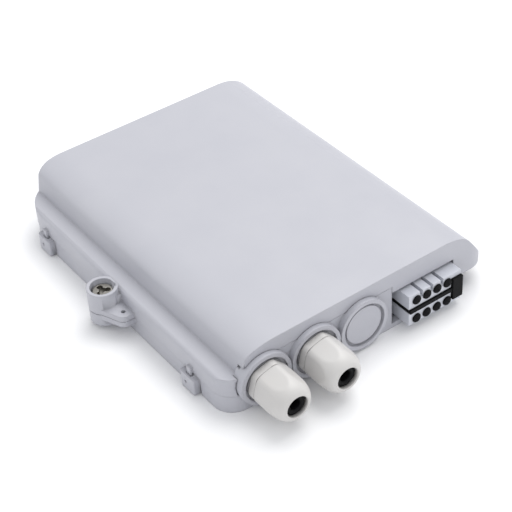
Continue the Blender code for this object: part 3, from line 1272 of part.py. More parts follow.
def add_tray_knuckle(tray, side):
    """One knuckle of the tray, with its arm and its pin."""
    label = "front" if side < 0 else "back"
    place = TRAY_CENTRE_Y + side * TRAY_HINGE_SPACING / 2
    half = TRAY_KNUCKLE_LENGTH / 2
    barrel = knuckle("tray_knuckle_" + label, TRAY_PIN_X, place, TRAY_PIN_HEIGHT,
                     TRAY_KNUCKLE_LENGTH, TRAY_KNUCKLE_RADIUS)
    arm = block("tray_arm_" + label,
                (TRAY_PIN_X - TRAY_ARM_REACH, place - half,
                 TRAY_FLOOR_HEIGHT - TRAY_ARM_DEPTH),
                (TRAY_PIN_X, place + half, TRAY_FLOOR_HEIGHT))
    root = block("tray_arm_root_" + label,
                 (TRAY_PIN_X - TRAY_ARM_REACH, place - half,
                  TRAY_FLOOR_HEIGHT - TRAY_ARM_DEPTH),
                 (TRAY_PIN_X - TRAY_ARM_ROOT, place + half,
                  TRAY_FLOOR_HEIGHT + TRAY_FLOOR / 2))
    fuse(tray, barrel, arm, root)
    cut(tray, knuckle("tray_knuckle_bore_" + label, TRAY_PIN_X, place, TRAY_PIN_HEIGHT,
                      2 * TRAY_KNUCKLE_LENGTH, TRAY_PIN_RADIUS + FIT_GAP / 2))
    length = TRAY_KNUCKLE_LENGTH + TRAY_POST_LENGTH + HINGE_KNUCKLE_GAP
    shift = side * (length - TRAY_KNUCKLE_LENGTH) / 2
    pin = rod("tray_pin_" + label, (TRAY_PIN_X, place + shift, TRAY_PIN_HEIGHT),
              TRAY_PIN_RADIUS, length, "Y", SMALL_STEPS // 2)
    finish(pin, PIN_STEEL)


def make_splices():
    """The splice holder and the sleeves that lie in its grooves."""
    middle_x = (TRAY_LEFT + TRAY_RIGHT - TRAY_KNUCKLE_RADIUS) / 2
    middle_y = TRAY_FRONT + TRAY_CORNER_RADIUS + SLEEVE_COUNT * SLEEVE_PITCH / 2
    half = SLEEVE_COUNT * SLEEVE_PITCH / 2 + HOLDER_MARGIN
    low = TRAY_FLOOR_HEIGHT + TRAY_FLOOR + FIT_GAP
    holder = block("splice_holder", (middle_x - HOLDER_LENGTH / 2, middle_y - half, low),
                   (middle_x + HOLDER_LENGTH / 2, middle_y + half, low + HOLDER_HEIGHT))
    centre_z = low + HOLDER_HEIGHT - SLEEVE_BITE
    for index in range(SLEEVE_COUNT):
        place = middle_y + (index - (SLEEVE_COUNT - 1) / 2) * SLEEVE_PITCH
        cut(holder, rod("sleeve_groove_%d" % index, (middle_x, place, centre_z),
                        SLEEVE_RADIUS + FIT_GAP / 2, 2 * HOLDER_LENGTH, "X",
                        SMALL_STEPS))
        sleeve = rod("splice_sleeve_%d" % (index + 1), (middle_x, place, centre_z),
                     SLEEVE_RADIUS, SLEEVE_LENGTH, "X", SMALL_STEPS)
        finish(sleeve, SLEEVE_CLEAR)
    finish(holder, SEAL_BLACK)


def make_adapters():
    """The bracket across the base and its row of adapters."""
    half = ADAPTER_COUNT * ADAPTER_PITCH / 2 + BRACKET_MARGIN
    low = BASE_FLOOR + FIT_GAP
    centre_z = low + ADAPTER_FLOOR_GAP + ADAPTER_FLANGE_HEIGHT / 2
    top = centre_z + ADAPTER_FLANGE_HEIGHT / 2 - FIT_GAP
    front = ADAPTER_ROW_Y
    back = front + BRACKET_THICKNESS
    bracket = block("adapter_bracket", (ADAPTER_ROW_X - half, front, low),
                    (ADAPTER_ROW_X + half, back, top))
    foot = block("bracket_foot", (ADAPTER_ROW_X - half, front, low),
                 (ADAPTER_ROW_X + half, front + BRACKET_FOOT, low + BRACKET_THICKNESS))
    fuse(bracket, foot)
    for index in range(ADAPTER_COUNT):
        place = ADAPTER_ROW_X + (index - (ADAPTER_COUNT - 1) / 2) * ADAPTER_PITCH
        window = block("adapter_window_%d" % index,
                       (place - ADAPTER_WIDTH / 2 - FIT_GAP / 2, front - CUT_MARGIN,
                        centre_z - ADAPTER_HEIGHT / 2 - FIT_GAP),
                       (place + ADAPTER_WIDTH / 2 + FIT_GAP / 2,
                        front + 2 * CUT_MARGIN + BRACKET_FOOT,
                        centre_z + ADAPTER_HEIGHT / 2 + FIT_GAP))
        cut(bracket, window)
        make_adapter(index, place, front, centre_z)
    finish(bracket, PIN_STEEL)


def make_adapter(index, place, front, centre_z):
    """One adapter: a square sleeve open at both ends, with a stop flange."""
    number = index + 1
    middle = front + BRACKET_THICKNESS / 2
    adapter = block("adapter_%d" % number,
                    (place - ADAPTER_WIDTH / 2, middle - ADAPTER_LENGTH / 2,
                     centre_z - ADAPTER_HEIGHT / 2),
                    (place + ADAPTER_WIDTH / 2, middle + ADAPTER_LENGTH / 2,
                     centre_z + ADAPTER_HEIGHT / 2))
    flange = block("adapter_flange_%d" % number,
                   (place - ADAPTER_WIDTH / 2, front - FIT_GAP - ADAPTER_FLANGE_THICKNESS,
                    centre_z - ADAPTER_FLANGE_HEIGHT / 2),
                   (place + ADAPTER_WIDTH / 2, front - FIT_GAP,
                    centre_z + ADAPTER_FLANGE_HEIGHT / 2))
    fuse(adapter, flange)
    cell = block("adapter_cell_%d" % number,
                 (place - ADAPTER_CELL_WIDTH / 2, middle - ADAPTER_LENGTH,
                  centre_z - ADAPTER_CELL_HEIGHT / 2),
                 (place + ADAPTER_CELL_WIDTH / 2, middle + ADAPTER_LENGTH,
                  centre_z + ADAPTER_CELL_HEIGHT / 2))
    cut(adapter, cell)
    finish(adapter, ADAPTER_BLUE)


def make_floor_fittings():
    """The splitter module, and a clamp with two screws behind each gland."""
    low = BASE_FLOOR + FIT_GAP
    splitter = block("splitter_module",
                     (ADAPTER_ROW_X - SPLITTER_WIDTH / 2,
                      SPLITTER_CENTRE_Y - SPLITTER_DEPTH / 2, low),
                     (ADAPTER_ROW_X + SPLITTER_WIDTH / 2,
                      SPLITTER_CENTRE_Y + SPLITTER_DEPTH / 2, low + SPLITTER_HEIGHT))
    finish(splitter, PIN_STEEL)
    clamp_low = CLAMP_BOSS_HEIGHT + FIT_GAP
    depth = PORT_BACK_Y + CLAMP_DISTANCE
    for index, place in enumerate(port_positions()[:GLAND_COUNT]):
        clamp = block("cable_clamp_%d" % (index + 1),
                      (place - CLAMP_WIDTH / 2, depth - CLAMP_LENGTH / 2, clamp_low),
                      (place + CLAMP_WIDTH / 2, depth + CLAMP_LENGTH / 2,
                       clamp_low + CLAMP_HEIGHT))
        cut(clamp, rod("clamp_tunnel_%d" % index, (place, depth, clamp_low),
                       CLAMP_TUNNEL_RADIUS, 2 * CLAMP_LENGTH, "Y"))
        for side in HINGE_SIDES:
            cut(clamp, rod("clamp_hole_%d_%d" % (index, side),
                           (place + side * CLAMP_SCREW_SPACING / 2, depth, clamp_low),
                           SCREW_RADIUS + FIT_GAP, 4 * CLAMP_HEIGHT, steps=SMALL_STEPS))
        finish(clamp, TRAY_WHITE)
    for index, (x, y) in enumerate(clamp_screw_positions()):
        make_screw("clamp_screw_%d" % (index + 1), x, y, clamp_low + CLAMP_HEIGHT + FIT_GAP)


def make_screw(name, x, y, seat):
    """A slotted pan-head screw that stands on a seat height."""
    head = rod(name, (x, y, seat + SCREW_HEAD_HEIGHT / 2), SCREW_HEAD_RADIUS,
               SCREW_HEAD_HEIGHT, steps=SMALL_STEPS)
    shank = rod(name + "_shank", (x, y, seat - SCREW_LENGTH / 2 + FIT_GAP), SCREW_RADIUS,
                SCREW_LENGTH + 2 * FIT_GAP, steps=SMALL_STEPS // 2)
    slot = block(name + "_slot",
                 (x - SCREW_HEAD_RADIUS - FIT_GAP, y - SCREW_SLOT_WIDTH / 2,
                  seat + SCREW_HEAD_HEIGHT / 2),
                 (x + SCREW_HEAD_RADIUS + FIT_GAP, y + SCREW_SLOT_WIDTH / 2,
                  seat + 2 * SCREW_HEAD_HEIGHT))
    fuse(head, shank)
    cut(head, slot)
    finish(head, PIN_STEEL)


make_base()
make_cover()
make_gaskets()
make_hinge_pins()
make_lock()
for gland_index, gland_x in enumerate(port_positions()[:GLAND_COUNT]):
    make_gland(gland_index, gland_x)
make_drop_block()
make_tray()
make_adapters()
make_floor_fittings()
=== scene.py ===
"""Fiber termination box: a wall box with a hinged cover, two cable glands and a drop outlet block.

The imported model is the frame, in metres. It lies on its wall face, with the ports towards -Y,
the lock side at -X, the hinge side at +X and the cover on top.
"""

import math

import bmesh
import bpy
import numpy as np
from mathutils import Matrix, Vector


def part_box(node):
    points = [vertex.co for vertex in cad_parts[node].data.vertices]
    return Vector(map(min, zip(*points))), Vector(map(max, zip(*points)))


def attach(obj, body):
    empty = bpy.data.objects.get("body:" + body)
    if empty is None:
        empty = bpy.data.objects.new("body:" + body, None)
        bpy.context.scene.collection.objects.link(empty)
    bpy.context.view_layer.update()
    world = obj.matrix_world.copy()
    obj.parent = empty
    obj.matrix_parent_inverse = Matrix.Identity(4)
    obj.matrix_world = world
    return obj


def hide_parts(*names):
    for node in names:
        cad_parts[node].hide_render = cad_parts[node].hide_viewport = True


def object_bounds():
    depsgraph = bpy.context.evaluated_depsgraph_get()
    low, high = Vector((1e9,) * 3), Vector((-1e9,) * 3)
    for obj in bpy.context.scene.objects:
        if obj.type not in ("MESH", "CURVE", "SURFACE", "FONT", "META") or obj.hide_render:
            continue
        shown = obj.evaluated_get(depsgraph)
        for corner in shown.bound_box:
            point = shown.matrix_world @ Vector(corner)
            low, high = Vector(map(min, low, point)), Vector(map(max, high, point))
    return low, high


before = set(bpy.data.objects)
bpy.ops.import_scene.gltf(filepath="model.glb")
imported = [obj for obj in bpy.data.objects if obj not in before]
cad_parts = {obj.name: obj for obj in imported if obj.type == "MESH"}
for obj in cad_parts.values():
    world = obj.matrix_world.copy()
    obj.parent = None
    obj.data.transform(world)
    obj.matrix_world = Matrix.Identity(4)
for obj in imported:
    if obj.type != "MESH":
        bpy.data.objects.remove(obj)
cad_low, cad_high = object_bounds()
MM = 0.001


# --------------------------------------------------------------------------------------
# Studio
# A white floor under the box, a broad soft light overhead, a weak one in front of the
# ports, and a long lens that looks down on the cable end from the lock side.
# --------------------------------------------------------------------------------------
CAMERA_PLACE = Vector((-0.3900, -0.5962, 0.5751))
CAMERA_AIM = Vector((-0.01135, -0.02943, 0.0200))
CAMERA_ROLL = math.radians(-4.0)
CAMERA_LENS = 101.7
CAMERA_SENSOR = 36
CAMERA_NEAR = 0.01
FLOOR_REACH = 6.0
FLOOR_GAP = 0.05 * MM
FLOOR_WHITE = (0.94, 0.94, 0.945, 1)
SKY_COLOUR = (0.97, 0.98, 1.0, 1)
SKY_STRENGTH = 0.86

floor_form = bmesh.new()
bmesh.ops.create_grid(floor_form, x_segments=2, y_segments=2, size=FLOOR_REACH)
floor_mesh = bpy.data.meshes.new("studio_floor")
floor_form.to_mesh(floor_mesh)
floor_form.free()
floor_mesh.transform(Matrix.Translation((0, 0, cad_low[2] - FLOOR_GAP)))
floor = bpy.data.objects.new("studio_floor", floor_mesh)
bpy.context.scene.collection.objects.link(floor)
floor_paper = bpy.data.materials.new("floor_paper")
floor_paper.use_nodes = True
paper_shader = floor_paper.node_tree.nodes["Principled BSDF"]
paper_shader.inputs["Base Color"].default_value = FLOOR_WHITE
paper_shader.inputs["Roughness"].default_value = 0.9
paper_shader.inputs["Specular IOR Level"].default_value = 0.1
floor_mesh.materials.append(floor_paper)

studio = bpy.data.worlds.new("studio")
studio.use_nodes = True
studio.node_tree.nodes["Background"].inputs["Color"].default_value = SKY_COLOUR
studio.node_tree.nodes["Background"].inputs["Strength"].default_value = SKY_STRENGTH
bpy.context.scene.world = studio
bpy.context.scene.view_settings.view_transform = "Standard"


def soft_light(name, place, target, size, power, colour):
    """A square area light at a place, turned to face a target."""
    lamp = bpy.data.lights.new(name, "AREA")
    lamp.size = size
    lamp.energy = power
    lamp.color = colour
    holder = bpy.data.objects.new(name, lamp)
    bpy.context.scene.collection.objects.link(holder)
    holder.location = place
    aim = Vector(target) - Vector(place)
    holder.rotation_euler = aim.to_track_quat("-Z", "Y").to_euler()
    return holder


soft_light("overhead", (0.80, 0.30, 1.6), (0, 0, 0), 1.4, 20, (1.0, 0.995, 0.985))
soft_light("ports_fill", (0.6, -1.6, 0.7), (0, -0.1, 0.02), 0.9, 1.5, (0.96, 0.98, 1.0))

lens = bpy.data.cameras.new("camera")
lens.lens = CAMERA_LENS
lens.sensor_width = CAMERA_SENSOR
lens.clip_start = CAMERA_NEAR
camera = bpy.data.objects.new("camera", lens)
bpy.context.scene.collection.objects.link(camera)
camera_turn = (CAMERA_AIM - CAMERA_PLACE).to_track_quat("-Z", "Y").to_matrix().to_4x4()
camera.matrix_world = (Matrix.Translation(CAMERA_PLACE) @ camera_turn
                       @ Matrix.Rotation(CAMERA_ROLL, 4, "Z"))
bpy.context.scene.camera = camera


# --------------------------------------------------------------------------------------
# Base shell
# The shallow half of the box, moulded in cool grey ABS in one shot with its port wall,
# bosses, knuckles and lugs. Its outside has a fine spark-eroded grain and soft edges.
# --------------------------------------------------------------------------------------
JOIN_DISTANCE = 4e-6
FLAT_ANGLE = math.radians(0.4)
SHARP_ANGLE = math.radians(34)
FLAT_WEIGHT = 60
RAY_SAMPLES = 6
EDGE_LIGHT_AND_WEAR_SHARE = 0.6
CLOUD_ROUGHNESS = 0.06
RUB_POLISH = 0.10
MOULDED_SHADE_AND_DUST_REACH = 0.0025


def fit(piece, body, slot, material, *nodes):
    """Gives a piece its finish, sets it riding on a body and lets it stand for CAD nodes."""
    piece.data.materials.clear()
    piece.data.materials.append(material)
    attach(piece, body)
    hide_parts(*nodes)
    return piece


def show(name, mesh, sharp=SHARP_ANGLE):
    """A mesh as an object, smooth except where two faces meet at more than the sharp angle.

    Wide faces count for more in the shared normals, so flats stay flat beside their fillets.
    """
    mesh.shade_smooth()
    mesh.set_sharp_from_angle(angle=sharp)
    piece = bpy.data.objects.new(name, mesh)
    bpy.context.scene.collection.objects.link(piece)
    even = piece.modifiers.new("even_light", "WEIGHTED_NORMAL")
    even.keep_sharp = True
    even.weight = FLAT_WEIGHT
    return piece


def merged(node, name):
    """A copy of a CAD node whose loose triangles are joined, and its flats made single faces."""
    form = bmesh.new()
    form.from_mesh(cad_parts[node].data)
    bmesh.ops.remove_doubles(form, verts=form.verts, dist=JOIN_DISTANCE)
    bmesh.ops.dissolve_limit(form, angle_limit=FLAT_ANGLE, verts=form.verts,
                             edges=form.edges)
    mesh = bpy.data.meshes.new(name)
    form.to_mesh(mesh)
    form.free()
    return show(name, mesh)


def node_group(name, inputs, outputs):
    """A shader node group with named inputs, each with its starting value, and outputs."""
    group = bpy.data.node_groups.new(name, "ShaderNodeTree")
    for label, start in inputs.items():
        socket = group.interface.new_socket(name=label, in_out="INPUT",
                                            socket_type="NodeSocketFloat")
        socket.default_value = start
    for label, kind in outputs.items():
        group.interface.new_socket(name=label, in_out="OUTPUT", socket_type=kind)
    entry = group.nodes.new("NodeGroupInput")
    leave = group.nodes.new("NodeGroupOutput")
    return group, entry, leave


def sum_node(tree, operation, first, second, clamp=False):
    """One Math node, each input fed by a socket or set to a number."""
    node = tree.nodes.new("ShaderNodeMath")
    node.operation = operation
    node.use_clamp = clamp
    for socket, value in zip(node.inputs, (first, second)):
        if isinstance(value, (int, float)):
            socket.default_value = value
        else:
            tree.links.new(value, socket)
    return node.outputs[0]


def noise(tree, scale, detail, roughness=0.5):
    """A noise pattern on Object coordinates, with its scale a number or a socket."""
    place = tree.nodes.new("ShaderNodeTexCoord")
    pattern = tree.nodes.new("ShaderNodeTexNoise")
    pattern.inputs["Detail"].default_value = detail
    pattern.inputs["Roughness"].default_value = roughness
    tree.links.new(place.outputs["Object"], pattern.inputs["Vector"])
    if isinstance(scale, (int, float)):
        pattern.inputs["Scale"].default_value = scale
    else:
        tree.links.new(scale, pattern.inputs["Scale"])
    return pattern.outputs["Fac"]


# Mould texture: a fine grain over a slow orange peel, as a height, and a cloudy mask.
mould_texture, ends, out = node_group(
    "mould_texture", {"Grain": 1500.0, "Peel": 130.0},
    {"Height": "NodeSocketFloat", "Clouds": "NodeSocketFloat"})
fine = sum_node(mould_texture, "MULTIPLY", noise(mould_texture, ends.outputs["Grain"], 2.0),
                0.55)
slow = sum_node(mould_texture, "MULTIPLY", noise(mould_texture, ends.outputs["Peel"], 1.0),
                0.45)
mould_texture.links.new(sum_node(mould_texture, "ADD", fine, slow), out.inputs["Height"])
cloud = sum_node(mould_texture, "SUBTRACT", noise(mould_texture, 26.0, 3.0, 0.55), 0.35)
mould_texture.links.new(sum_node(mould_texture, "MULTIPLY", cloud, 3.2, True),
                        out.inputs["Clouds"])

# Rounded edge: normals rounded over by a radius, and a mask along the corners they round. Materials
# paint the colour lighter along this mask, a painted highlight together with wear.
rounded_edge, ends, out = node_group(
    "rounded_edge", {"Radius": 0.0004},
    {"Normal": "NodeSocketVector", "Edge": "NodeSocketFloat"})
rounding = rounded_edge.nodes.new("ShaderNodeBevel")
rounding.samples = RAY_SAMPLES
rounded_edge.links.new(ends.outputs["Radius"], rounding.inputs["Radius"])
surface = rounded_edge.nodes.new("ShaderNodeNewGeometry")
agreement = rounded_edge.nodes.new("ShaderNodeVectorMath")
agreement.operation = "DOT_PRODUCT"
rounded_edge.links.new(rounding.outputs["Normal"], agreement.inputs[0])
rounded_edge.links.new(surface.outputs["Normal"], agreement.inputs[1])
turned_away = sum_node(rounded_edge, "SUBTRACT", 1.0, agreement.outputs["Value"])
rounded_edge.links.new(sum_node(rounded_edge, "MULTIPLY", turned_away, 3.5, True),
                      out.inputs["Edge"])
rounded_edge.links.new(rounding.outputs["Normal"], out.inputs["Normal"])

# Painted shade and dust: a mask that fills the tight corners within a reach, broken up by noise. It
# is ambient occlusion, so it marks where shade falls as well as where dust settles.
corner_shade_and_dust, ends, out = node_group(
    "corner_shade_and_dust", {"Reach": 0.003}, {"Shade_and_dust": "NodeSocketFloat"})
corner = corner_shade_and_dust.nodes.new("ShaderNodeAmbientOcclusion")
corner.samples = RAY_SAMPLES
corner_shade_and_dust.links.new(ends.outputs["Reach"], corner.inputs["Distance"])
closed_in = sum_node(corner_shade_and_dust, "SUBTRACT", 1.0, corner.outputs["AO"])
broken = sum_node(corner_shade_and_dust, "MULTIPLY", closed_in,
                  sum_node(corner_shade_and_dust, "ADD", noise(corner_shade_and_dust, 420.0, 4.0), 0.4), True)
corner_shade_and_dust.links.new(broken, out.inputs["Shade_and_dust"])


def use_group(tree, group, **values):
    """Places a node group in a material with its own input values."""
    node = tree.nodes.new("ShaderNodeGroup")
    node.node_tree = group
    for label, value in values.items():
        node.inputs[label].default_value = value
    return node


def tint(tree, mask, amount, base, colour):
    """Mixes a colour over a base, as far as a mask times an amount."""
    mix = tree.nodes.new("ShaderNodeMix")
    mix.data_type = "RGBA"
    tree.links.new(sum_node(tree, "MULTIPLY", mask, amount, True), mix.inputs["Factor"])
    colour_inputs = [socket for socket in mix.inputs if socket.type == "RGBA"]
    for socket, value in zip(colour_inputs, (base, colour)):
        if isinstance(value, tuple):
            socket.default_value = value
        else:
            tree.links.new(value, socket)
    return [socket for socket in mix.outputs if socket.type == "RGBA"][0]


def moulded(name, colour, cloudy, edge_light_and_wear, shade_and_dust_colour, roughness, grain, peel, depth, edge,
            shade_and_dust_share=0.35, gloss=0.5, texture=0.35):
    """A moulded plastic or rubber: clouds in its colour, edges painted lighter as a highlight and
    wear, and corners tinted as painted shade and dust.
    """
    material = bpy.data.materials.new(name)
    material.use_nodes = True
    tree = material.node_tree
    shader = tree.nodes["Principled BSDF"]
    skin = use_group(tree, mould_texture, Grain=grain, Peel=peel)
    edge_round = use_group(tree, rounded_edge, Radius=edge)
    shade_and_dust_mask = use_group(tree, corner_shade_and_dust, Reach=MOULDED_SHADE_AND_DUST_REACH)
    body = tint(tree, skin.outputs["Clouds"], 1.0, colour, cloudy)
    # The edges are painted lighter along the edge mask: a painted highlight there together with
    # wear.
    body = tint(tree, edge_round.outputs["Edge"], EDGE_LIGHT_AND_WEAR_SHARE, body, edge_light_and_wear)
    # The tight corners are tinted by the occlusion mask: painted shade where the corner colour is
    # darker, as on the plastics, and dust where it is lighter, as on the black rubbers and foam.
    body = tint(tree, shade_and_dust_mask.outputs["Shade_and_dust"], shade_and_dust_share, body, shade_and_dust_colour)
    tree.links.new(body, shader.inputs["Base Color"])
    rough = sum_node(tree, "MULTIPLY", skin.outputs["Clouds"], CLOUD_ROUGHNESS)
    rough = sum_node(tree, "ADD", rough, roughness)
    worn_smooth = sum_node(tree, "MULTIPLY", edge_round.outputs["Edge"], RUB_POLISH)
    rough = sum_node(tree, "SUBTRACT", rough, worn_smooth, True)
    tree.links.new(rough, shader.inputs["Roughness"])
    relief = tree.nodes.new("ShaderNodeBump")
    relief.inputs["Strength"].default_value = texture
    relief.inputs["Distance"].default_value = depth
    tree.links.new(skin.outputs["Height"], relief.inputs["Height"])
    tree.links.new(edge_round.outputs["Normal"], relief.inputs["Normal"])
    tree.links.new(relief.outputs["Normal"], shader.inputs["Normal"])
    shader.inputs["Specular IOR Level"].default_value = gloss
    return material


shell_grey = moulded("shell_grey", (0.466, 0.468, 0.508, 1), (0.450, 0.453, 0.495, 1),
                     (0.54, 0.54, 0.58, 1), (0.375, 0.365, 0.365, 1),
                     roughness=0.40, grain=1700.0, peel=150.0, depth=0.00012,
                     edge=0.0009, shade_and_dust_share=0.3)

fit(merged("base_shell", "base_moulding"), "base", "shell", shell_grey, "base_shell")


# --------------------------------------------------------------------------------------
# Gaskets
# A frame of dark grey EPDM foam glued on the base's spigot, and a straight strip of it
# behind the port wall. Both are cut from sheet and press against the closed cover.
# --------------------------------------------------------------------------------------
gasket_foam = moulded("gasket_foam", (0.055, 0.055, 0.06, 1), (0.075, 0.075, 0.08, 1),
                      (0.10, 0.10, 0.105, 1), (0.17, 0.165, 0.16, 1),
                      roughness=0.82, grain=2600.0, peel=620.0, depth=0.00025,
                      edge=0.0004, shade_and_dust_share=0.4, gloss=0.25, texture=0.8)

fit(merged("gasket_frame", "gasket_frame_foam"), "base", "gasket", gasket_foam,
    "gasket_frame")
fit(merged("gasket_strip", "gasket_strip_foam"), "base", "gasket", gasket_foam,
    "gasket_strip")


# --------------------------------------------------------------------------------------
# Cable glands
# Two nylon glands in warm white: a threaded body with a hexagonal flange, a rubber washer
# and a lock nut that hold it in the port wall, a rubber seal, and a dome nut over it.
# --------------------------------------------------------------------------------------
GLAND_AROUND = 96
THREAD_PITCH = 1.5 * MM
THREAD_DEPTH = 0.45 * MM
FLAT_SHARPNESS = 16000.0
FLAT_REACH = 0.82
WELD_DISTANCE = 1e-7
TURNED_SHARP_ANGLE = math.radians(50)
AHEAD = Vector((0, -1, 0))
NUT_HEX_SHARE = 0.40
NUT_FLATS_SHARE = 0.93
NUT_LIP = 2.2 * MM
NUT_WALL = 3.5 * MM
NUT_DOME_SWEEP = 80
NUT_DOME_ROWS = 22
NUT_DOME_RISE_POWER = 1.06
NUT_DOME_DRAW_POWER = 0.80
SEAL_BORE = 3.4 * MM
SEAL_NOSE_DROP = 1.9 * MM
SEAL_RIB_PITCH = 2.2 * MM
SEAL_CLEAR = 0.15 * MM
WASHER_WIDTH = 2.7 * MM
FLANGE_THICKNESS = 4.6 * MM
GLAND_BORE = 7.3 * MM


def grid_surface(name, points, loop):
    """A mesh from a grid of points whose columns close on themselves, and rows too if asked.

    Point (i, j) joins (i + 1, j), (i + 1, j + 1) and (i, j + 1) in one face. The signed
    volume, the sum of each face's corner products over six, tells whether faces point
    outwards; if it is negative, every face is wound the other way.
    """
    rows, columns = points.shape[:2]
    index = np.arange(rows * columns).reshape(rows, columns)
    below = np.roll(index, -1, 0)
    faces = np.stack([index, below, np.roll(below, -1, 1), np.roll(index, -1, 1)], -1)
    if not loop:
        faces = faces[:-1]
    faces = faces.reshape(-1, 4)
    flat = points.reshape(-1, 3)
    corners = flat[faces]
    volume = (np.einsum("ij,ij->i", corners[:, 0], np.cross(corners[:, 1], corners[:, 2])).sum()
              + np.einsum("ij,ij->i", corners[:, 0],
                          np.cross(corners[:, 2], corners[:, 3])).sum()) / 6
    if volume < 0:
        faces = faces[:, ::-1]
    mesh = bpy.data.meshes.new(name)
    mesh.from_pydata(flat.tolist(), [], faces.tolist())
    form = bmesh.new()
    form.from_mesh(mesh)
    bmesh.ops.remove_doubles(form, verts=form.verts, dist=WELD_DISTANCE)
    form.to_mesh(mesh)
    form.free()
    return mesh


def turned(name, outline, centre, ahead, around=GLAND_AROUND, trim=None, loop=True,
           sharp=SHARP_ANGLE):
    """A piece turned about an axis through a centre.

    The outline holds, row by row, how far ahead of the centre a ring lies and its radius.
    A ring's points are centre + distance * ahead + radius * (cos, sin) in the plane across
    the axis. A trim may change the radius with the distance and the angle.
    """
    outline = np.asarray(outline, dtype=float)
    angle = np.linspace(0, 2 * np.pi, around, endpoint=False)
    distance = outline[:, 0, None]
    radius = np.repeat(outline[:, 1, None], around, axis=1)
    if trim is not None:
        radius = trim(radius, distance, angle)
    across = np.array(ahead.orthogonal().normalized())
    along = np.array(ahead)
    upright = np.cross(along, across)
    points = (np.array(centre) + distance[..., None] * along
              + (radius * np.cos(angle))[..., None] * across
              + (radius * np.sin(angle))[..., None] * upright)
    return show(name, grid_surface(name, points, loop), sharp)


def eased(corners, radius, steps=4, loop=True):
    """An outline whose corners are rounded.

    Each corner is cut back along both of its edges, by the radius or by a third of the
    edge if that is less, and bridged with a quadratic curve that has the corner as its
    middle control point.
    """
    corners = np.asarray(corners, dtype=float)
    count = len(corners)
    line = []
    for index in range(count):
        corner = corners[index]
        if not loop and index in (0, count - 1):
            line.append(corner)
            continue
        before = corners[index - 1] - corner
        after = corners[(index + 1) % count] - corner
        back = np.linalg.norm(before)
        on = np.linalg.norm(after)
        start = corner + before * min(radius / back, 1 / 3)
        end = corner + after * min(radius / on, 1 / 3)
        for part in np.linspace(0, 1, steps + 1):
            line.append(start * (1 - part) ** 2 + corner * 2 * part * (1 - part)
                        + end * part ** 2)
    return np.array(line)


def filled(outline, spacing):
    """An outline with more rows on its long runs, none further apart than the spacing."""
    rows = []
    for start, end in zip(outline[:-1], outline[1:]):
        count = max(1, int(np.ceil(np.linalg.norm(end - start) / spacing)))
        rows += [start + (end - start) * part / count for part in range(count)]
    rows.append(outline[-1])
    return np.array(rows)


def flats(across_flats, first_row, last_row):
    """A trim that holds the radius inside a hexagon between two distances.

    The hexagon's radius at an angle is half its width across flats over the cosine of the
    angle from the nearest flat's middle. The lower of that and the turned radius is taken
    with a soft minimum, -log(exp(-k a) + exp(-k b)) / k, which rounds the corners.
    """
    def trim(radius, distance, angle):
        """The turned radius, or the hexagon's where that is less, between the two rows."""
        sixth = np.pi / 3
        from_flat = (angle + sixth / 2) % sixth - sixth / 2
        hexagon = across_flats / 2 / np.cos(from_flat)
        soft = -np.logaddexp(-FLAT_SHARPNESS * radius, -FLAT_SHARPNESS * hexagon)
        soft = soft / FLAT_SHARPNESS
        inside = (distance >= first_row) & (distance <= last_row)
        outer = radius > across_flats / 2 * FLAT_REACH
        return np.where(inside & outer, soft, radius)
    return trim


gland_nylon = moulded("gland_nylon", (0.60, 0.588, 0.575, 1), (0.58, 0.565, 0.55, 1),
                      (0.72, 0.71, 0.70, 1), (0.41, 0.385, 0.36, 1),
                      roughness=0.36, grain=2400.0, peel=260.0, depth=0.00006,
                      edge=0.0004, shade_and_dust_share=0.35, gloss=0.5, texture=0.25)
seal_rubber = moulded("seal_rubber", (0.003, 0.003, 0.004, 1), (0.005, 0.005, 0.006, 1),
                      (0.012, 0.012, 0.013, 1), (0.018, 0.017, 0.016, 1),
                      roughness=0.62, grain=1900.0, peel=420.0, depth=0.00012,
                      edge=0.0004, shade_and_dust_share=0.15, gloss=0.15, texture=0.5)
washer_rubber = moulded("washer_rubber", (0.27, 0.27, 0.285, 1), (0.25, 0.25, 0.265, 1),
                        (0.33, 0.33, 0.345, 1), (0.22, 0.21, 0.20, 1),
                        roughness=0.6, grain=1900.0, peel=420.0, depth=0.00010,
                        edge=0.0004, shade_and_dust_share=0.2, gloss=0.25, texture=0.5)


